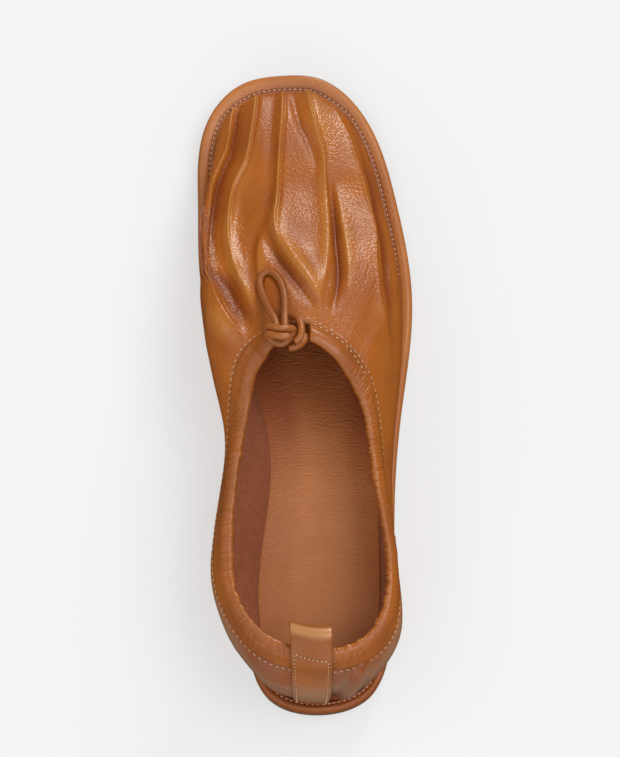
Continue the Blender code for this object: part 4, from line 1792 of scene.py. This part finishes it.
        def smooth(along: np.ndarray, across: np.ndarray) -> np.ndarray:
            """Pulled flat where it is sewn down the back, and given a painted sheen there."""
            row = along * self.steps
            return eased((row - 14) / 10) * eased((66 - row) / 24)

        layers = {"ridge": ridge, "shade": shade, "smooth": smooth}
        piece = surface("pull_tab_strap", self.steps, self.around, self.place, layers)
        return finish_piece(piece, (leather,), "tan_leather", "pull_tab")


# ---------------------------------------------------------------- drawstring
@dataclass
class Drawstring:
    """The leather cord knotted at the throat, with its loop lying on the vamp.

    The routes are in the knot's own frame: across, ahead and up. loop_length alone is in metres.
    """

    base: Triple = (-9.4, 140.6, 57.0)
    slope: float = math.radians(22.0)
    diameter: float = 2.8
    loop_length: float = 0.0756
    turn_across: float = 4.9
    turn_up: float = 3.5
    turn_pitch: float = 3.8
    turn_height: float = 5.1
    turn_ahead: float = -4.6
    turn_aside: float = -2.5
    turn_lean: float = 0.11
    turn_steps: int = 24
    ring_step: float = 0.35
    end_radius: float = 0.7
    around: int = 22
    mouth: Route = ((-4.9, -1.6, -1.2), (-5.1, -2, 0.7))
    bight: Route = (
        (1.2, 6.4, 1.4), (2.9, 5.9, 2.8), (4.5, 3.7, 4.1), (5.4, 0.3, 4.7), (5.5, -3.4, 4.7),
        (4.6, -6.1, 4.2), (2.6, -7.7, 3.5),
    )
    tail: Route = (
        (6.6, -0.4, -0.9), (6.8, -2.4, -0.4), (6.1, -4.7, 0.2), (4.4, -6.6, 0.4), (2.4, -7.4, 0.2),
        (0.6, -7.2, -0.6),
    )
    loop: Route = (
        (-3.9, -5, 5), (-4, -1, 5), (-4.6, 3, 4.7), (-5.8, 6.8, 3.8), (-7.3, 12, 2.3),
        (-8.8, 18.6, 0.5), (-9.7, 24, -0.5), (-9.4, 27.6, -0.6), (-8.1, 29.6, -0.2), (-6.1, 29.9, 0.4),
        (-4.1, 28.3, 1), (-2.1, 24.8, 1.6), (-0.8, 19.8, 2.2), (-0.3, 14, 2.9), (-0.4, 8.6, 3.9),
        (-0.7, 3.5, 4.8), (-0.7, -1, 5), (-0.7, -5, 5),
    )

    def knot_place(self, points: Points) -> Points:
        """Points of the knot's own frame, across, ahead and up, put in the shoe's.

        Args:
            points: the points.

        Returns:
            The points, in millimetres from the heel.
        """
        points = np.asarray(points, float)
        forward = np.array([0.0, math.cos(self.slope), -math.sin(self.slope)])
        upward = np.array([0.0, math.sin(self.slope), math.cos(self.slope)])
        side = np.array([1.0, 0.0, 0.0])
        return np.array(self.base) + points[:, :1] * side + points[:, 1:2] * forward + points[:, 2:3] * upward

    def turns(self) -> Points:
        """Out of the casing's mouth, then two turns round the loop, the second nearer the heel.

        Returns:
            The route's points in the knot's own frame.
        """
        found = [np.array(point) for point in self.mouth]
        for k in range(self.turn_steps + 1):
            angle = math.tau * (1.5 * k / self.turn_steps - 0.125)
            across = -self.turn_across * math.cos(angle)
            ahead = self.turn_ahead - self.turn_pitch * (angle / math.tau - 0.25) + self.turn_lean * across**2
            up = self.turn_height + self.turn_up * math.sin(angle)
            found.append(np.array([across + self.turn_aside, ahead, up]))
        return np.array(found)

    def tube(self, name: str, route: Points, seed: int) -> tuple[bpy.types.Object, Points]:
        """A rolled leather cord along a route.

        Args:
            name: the piece's name.
            route: its points in the knot's own frame.
            seed: picks its unevenness.

        Returns:
            The piece, and the points of its middle line in metres in the shoe's frame.
        """
        line = smooth_line(self.knot_place(route), 0.5)
        count = max(24, int(np.linalg.norm(np.diff(line, axis=0), axis=1).sum() / self.ring_step))
        line = evenly(line, count + 1)
        way = unit(np.gradient(line, axis=0))
        side = np.empty_like(line)
        side[0] = unit(np.cross(way[0], [0.0, 0.3, 1.0]))
        for k in range(1, len(line)):
            side[k] = unit(side[k - 1] - way[k] * np.dot(side[k - 1], way[k]))
        other = np.cross(way, side)
        radius = self.diameter / 2

        def place(along: np.ndarray, across: np.ndarray) -> Points:
            """The cord's points: along it, and once round."""
            turn = once_round(across)
            here = rows_as(range(count + 1), along).astype(int)
            outward = side[here] * np.cos(turn)[:, None] + other[here] * np.sin(turn)[:, None]
            cap = round_end(np.minimum(along, 1 - along) * count * self.ring_step, self.end_radius)
            ring = line[here] + outward * radius
            uneven = 0.045 * lumps(ring, 0.9, seed) + 0.05 * lumps(ring, 3.0, seed + 1)
            fold = -0.10 * np.exp(-((np.mod(turn - 0.6 - along * 2.0, math.tau) - math.pi) ** 2) / 0.03)
            return line[here] + outward * ((radius + uneven + fold) * cap)[:, None]

        return surface(name, count, self.around, place), FORM.to_shoe(line)

    def build(self, leather: bpy.types.Material) -> list[bpy.types.Object]:
        """Args:
            leather: the cord's finish.

        Returns:
            The four pieces.
        """
        pieces = []
        for name, node, route, seed in (
            ("knot_turns", "drawstring_turns", self.turns(), 41),
            ("knot_bight", "drawstring_bight", np.array(self.bight), 43),
            ("knot_tail", "drawstring_tail", np.array(self.tail), 45),
        ):
            piece, _ = self.tube(name, route, seed)
            pieces.append(finish_piece(piece, (leather,), "tan_leather", node))
        loop, path = self.tube("drawstring_loop_cord", np.array(self.loop), 47)
        finish_piece(loop, (leather,), "tan_leather", "drawstring_loop")
        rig.cord(
            loop, exit=path[0], length=self.loop_length, diameter=self.diameter * MM, far_end="knot",
            stiffness="medium", lay="loose", path=path, with_pieces=pieces,
        )
        return [*pieces, loop]


# ---------------------------------------------------------------- stitching
@dataclass(frozen=True)
class StitchRow:
    """A row of stitches: a line of points with the surface's direction at each."""

    name: str
    line: Points
    normal: Points
    pitch: float
    length: float
    width: float
    rise: float

    def places(self) -> list[tuple[Points, Points, Points]]:
        """Each stitch's middle, direction along and direction out.

        Returns:
            The three for each stitch, in order.
        """
        run = running(np.linalg.norm(np.diff(self.line, axis=0), axis=1))
        count = max(1, int(round(run[-1] / self.pitch)))
        wanted = (np.arange(count) + 0.5) * run[-1] / count
        middle, ahead, behind = (read_off(self.line, run, wanted + step) for step in (0.0, 0.4, -0.4))
        return list(zip(middle, unit(ahead - behind), unit(read_off(self.normal, run, wanted))))


Bead = tuple[Points, Points, Points, Triple]


@dataclass
class Stitching:
    """All rows of stitches, with dark beads beside them as painted shade in the needle holes."""

    rows: Sequence[StitchRow]
    turn_wander: float = 0.06
    side_wander: float = 0.05
    hole_half: Triple = (0.28, 0.24, 0.1)

    def beads(self, name: str, spots: Sequence[Bead]) -> bpy.types.Object:
        """Small rounded beads joined in one mesh.

        Args:
            name: the piece's name.
            spots: each bead's middle, direction along, direction out and half sizes along, across and out.

        Returns:
            The joined piece.
        """
        bm = bmesh.new()
        lying = Matrix.Rotation(math.pi / 2, 4, "Y")
        bmesh.ops.create_uvsphere(bm, u_segments=7, v_segments=5, radius=1.0, matrix=lying)
        bead = np.array([vert.co for vert in bm.verts])
        faces = [[vert.index for vert in face.verts] for face in bm.faces]
        bm.free()
        middle, way, out, half = (np.array([spot[k] for spot in spots]) for k in range(4))
        side = unit(np.cross(out, way))
        axes = np.stack([way, side, np.cross(way, side)], axis=1)
        points = middle[:, None, :] + np.einsum("vk,nk,nkc->nvc", bead, half, axes)
        copies = [[corner + len(bead) * k for corner in face] for k in range(len(spots)) for face in faces]
        mesh = bpy.data.meshes.new(name)
        mesh.from_pydata(FORM.to_shoe(points.reshape(-1, 3)), [], copies)
        mesh.shade_smooth()
        return put(name, mesh)

    def build(self, thread: bpy.types.Material, hole: bpy.types.Material) -> list[bpy.types.Object]:
        """Sews every row.

        Args:
            thread: the stitches' finish.
            hole: the finish of the painted shade in the needle holes.

        Returns:
            The pieces.
        """
        made = []
        for index, row in enumerate(self.rows):
            wander = np.random.default_rng(60 + index)
            stitches, holes = [], []
            for middle, way, out in row.places():
                side = np.cross(out, way)
                way = unit(way + side * wander.uniform(-self.turn_wander, self.turn_wander))
                middle = middle + side * wander.uniform(-self.side_wander, self.side_wander)
                stitches.append((middle + out * 0.05, way, out, (row.length / 2, row.width / 2, row.rise)))
                # Dark beads at each stitch's ends: painted shade in the needle holes.
                for end in (-1, 1):
                    tip = middle + way * end * (row.length / 2 + 0.05) + side * 0.12 * end
                    holes.append((tip - out * 0.02, way, out, self.hole_half))
            for kind, spots, material in (("_stitches", stitches, thread), ("_needle_holes", holes, hole)):
                made.append(finish_piece(self.beads(row.name + kind, spots), (material,), "tan_leather"))
        return made


def border_row(sole: Sole) -> StitchRow:
    """The row that sews the upper to the platform, all round the sole.

    Args:
        sole: the sole that it is sewn to.

    Returns:
        The row.
    """
    s = np.linspace(0, FORM.around, 1400)
    inset = np.full(len(s), sole.groove_inset)
    plan = FORM.edge(s, by_border(inset, FORM.y_at(s)))
    z = FORM.platform_floor(plan[:, 1]) + sole.stitch_height
    normal = np.tile([0.0, 0.0, 1.0], (len(s), 1))
    return StitchRow("border", np.column_stack([plan, z]), normal, 2.1, 1.2, 0.58, 0.38)


def collar_row(casing: CollarCasing) -> StitchRow:
    """The row that sews the casing to the upper, just under the collar.

    Args:
        casing: the casing.

    Returns:
        The row.
    """
    s = np.linspace(casing.start + 1.5, casing.stop - 2.0, 1100)
    below = FORM.wall_at(s, np.full(len(s), 0.9))
    height = 10 * np.linalg.norm(FORM.wall_at(s, np.ones(len(s))) - below, axis=1)
    share = 1 - 1.45 / height
    return StitchRow("collar", FORM.wall_at(s, share), FORM.wall_normal(s, share), 2.5, 1.5, 0.36, 0.26)


def throat_row(casing: CollarCasing) -> StitchRow:
    """A second row on the casing's edge, at the outer side of the throat.

    Args:
        casing: the casing.

    Returns:
        The row.
    """
    s = np.linspace(casing.stop - 95.0, casing.stop - 2.5, 300)
    centre, _, height, outward = FORM.casing_at(s)
    lean = unit(outward * 0.9 - height * 0.4)
    return StitchRow("throat", centre - height * 3.1 + outward * 1.5, lean, 2.5, 1.5, 0.36, 0.26)


def tab_rows(tab: PullTab) -> list[StitchRow]:
    """The pull tab's two side rows and the row across it.

    Args:
        tab: the pull tab.

    Returns:
        The three rows.
    """
    rows = []
    foot, top = 6.0, 75.0
    for name, share, last in (("tab_inner_side", 0.1, top), ("tab_outer_side", 0.9, top - 3.0)):
        here, out = tab.frame_at(np.linspace(foot, last, 90), np.full(90, share))
        rows.append(StitchRow(name, here + out * tab.thickness / 2, out, 1.6, 0.85, 0.42, 0.27))
    share = np.linspace(0.11, 0.89, 40)
    here, out = tab.frame_at(top - (share - 0.11) * 3.6, share)
    rows.append(StitchRow("tab_across", here + out * tab.thickness / 2, out, 1.7, 1.2, 0.42, 0.3))
    return rows


# ---------------------------------------------------------------- studio
@dataclass(frozen=True)
class SoftLight:
    """A soft light from far away, so that it falls evenly on the floor.

    bearing is counted from the toe towards the shoe's outer side; it, height and spread are in degrees.
    """

    name: str
    bearing: float
    height: float
    spread: float
    strength: float
    colour: Colour = (1.0, 1.0, 1.0)

    def build(self) -> None:
        """Hangs the lamp."""
        lamp = bpy.data.lights.new(self.name, "SUN")
        lamp.angle = math.radians(self.spread)
        lamp.energy = self.strength
        lamp.color = self.colour
        bearing, height = math.radians(self.bearing), math.radians(self.height)
        flat = math.cos(height)
        towards = Vector((math.sin(bearing) * flat, math.cos(bearing) * flat, math.sin(height)))
        obj = put(self.name, lamp)
        obj.location = towards * 2.0
        obj.rotation_euler = (-towards).to_track_quat("-Z", "Y").to_euler()


@dataclass
class Studio:
    """A plain pale floor, soft light and the camera."""

    aim: Triple = (0.0, 0.0, 0.025)
    eye_from_aim: Triple = (-0.042, -0.4141, 1.5455)
    roll: float = math.radians(1.6)
    lens: float = 193.1
    lights: tuple[SoftLight, ...] = (
        SoftLight("key", 80.0, 64.0, 36.0, 1.1),
        SoftLight("toe_side", 20.0, 21.0, 21.0, 1.35, (1.0, 0.985, 0.92)),
        SoftLight("heel_side", 185.0, 70.0, 40.0, 0.48),
        SoftLight("heel_low_outer", 167.0, 26.0, 28.0, 0.45),
        SoftLight("heel_low_inner", 216.0, 29.0, 28.0, 0.42),
        SoftLight("inner_fill", -78.0, 52.0, 40.0, 0.5),
    )
    room: float = 0.24
    floor_share: float = 0.35
    floor_glow: float = 0.525

    def camera(self) -> None:
        """Puts the camera at the shoe's viewing angle."""
        aim = Vector(self.aim)
        eye = aim + Vector(self.eye_from_aim)
        forward = (aim - eye).normalized()
        across = Vector((1, 0, 0))
        right = (across - forward * across.dot(forward)).normalized()
        up = right.cross(forward)
        turned_right = right * math.cos(self.roll) - up * math.sin(self.roll)
        turned_up = right * math.sin(self.roll) + up * math.cos(self.roll)
        data = bpy.data.cameras.new("camera")
        data.lens = self.lens
        data.clip_start, data.clip_end = 0.1, 20.0
        obj = put("camera", data)
        axes = Matrix((turned_right, turned_up, -forward)).transposed().to_4x4()
        obj.matrix_world = Matrix.Translation(eye) @ axes
        bpy.context.scene.camera = obj

    def floor(self) -> None:
        """Lays the floor, a lit white table whose glow thins the shadows."""
        bm = bmesh.new()
        bmesh.ops.create_grid(bm, x_segments=2, y_segments=2, size=6.0)
        mesh = bpy.data.meshes.new("studio_floor")
        bm.to_mesh(mesh)
        bm.free()
        obj = put("studio_floor", mesh)
        made = bpy.data.materials.new("studio_floor")
        made.use_nodes = True
        sketch = NodeSketch(made.node_tree)
        sketch.feed(made.node_tree.nodes["Principled BSDF"].inputs, {
            "Base Color": rgba((self.floor_share,) * 3),
            "Emission Color": rgba((1.0, 1.0, 1.0)),
            "Emission Strength": self.floor_glow,
            "Roughness": 0.9,
            "Specular IOR Level": 0.1,
        })
        mesh.materials.append(made)
        obj.visible_glossy = False
        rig.stage(obj)

    def light(self) -> None:
        """Hangs the lamps and sets the room's own light."""
        world = bpy.data.worlds.new("studio")
        world.use_nodes = True
        shader = world.node_tree.nodes["Background"]
        shader.inputs["Strength"].default_value = self.room
        shader.inputs["Color"].default_value = rgba((1.0, 1.0, 1.0))
        world.cycles_visibility.glossy = False
        bpy.context.scene.world = world
        for lamp in self.lights:
            lamp.build()
        bpy.context.scene.view_settings.view_transform = "Standard"


def main() -> None:
    """Builds the studio and then the shoe, the camera and the cord first."""
    studio = Studio()
    studio.camera()
    shared = SharedEffects()
    Drawstring().build(CORD_TAN.build(shared))
    sole = Sole()
    sole.build(SOLE_RUBBER.build(), BORDER_TAN.build(shared), SOCK_TAN.build(shared))
    Upper().build(TAN.build(shared), LINING.build())
    casing = CollarCasing()
    casing.build(CASING_TAN.build(shared))
    tab = PullTab()
    tab.build(STRAP_TAN.build(shared))
    rows = [border_row(sole), collar_row(casing), throat_row(casing), *tab_rows(tab)]
    Stitching(rows).build(STITCH.build(), HOLE_SHADE.build())
    studio.floor()
    studio.light()
    sizes = {"cad": [list(corner) for corner in CAD_BOX], "visual": [list(corner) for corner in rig.bounds()]}
    with open("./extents.json", "w") as out:
        json.dump(sizes, out)


if __name__ == "__main__":
    main()
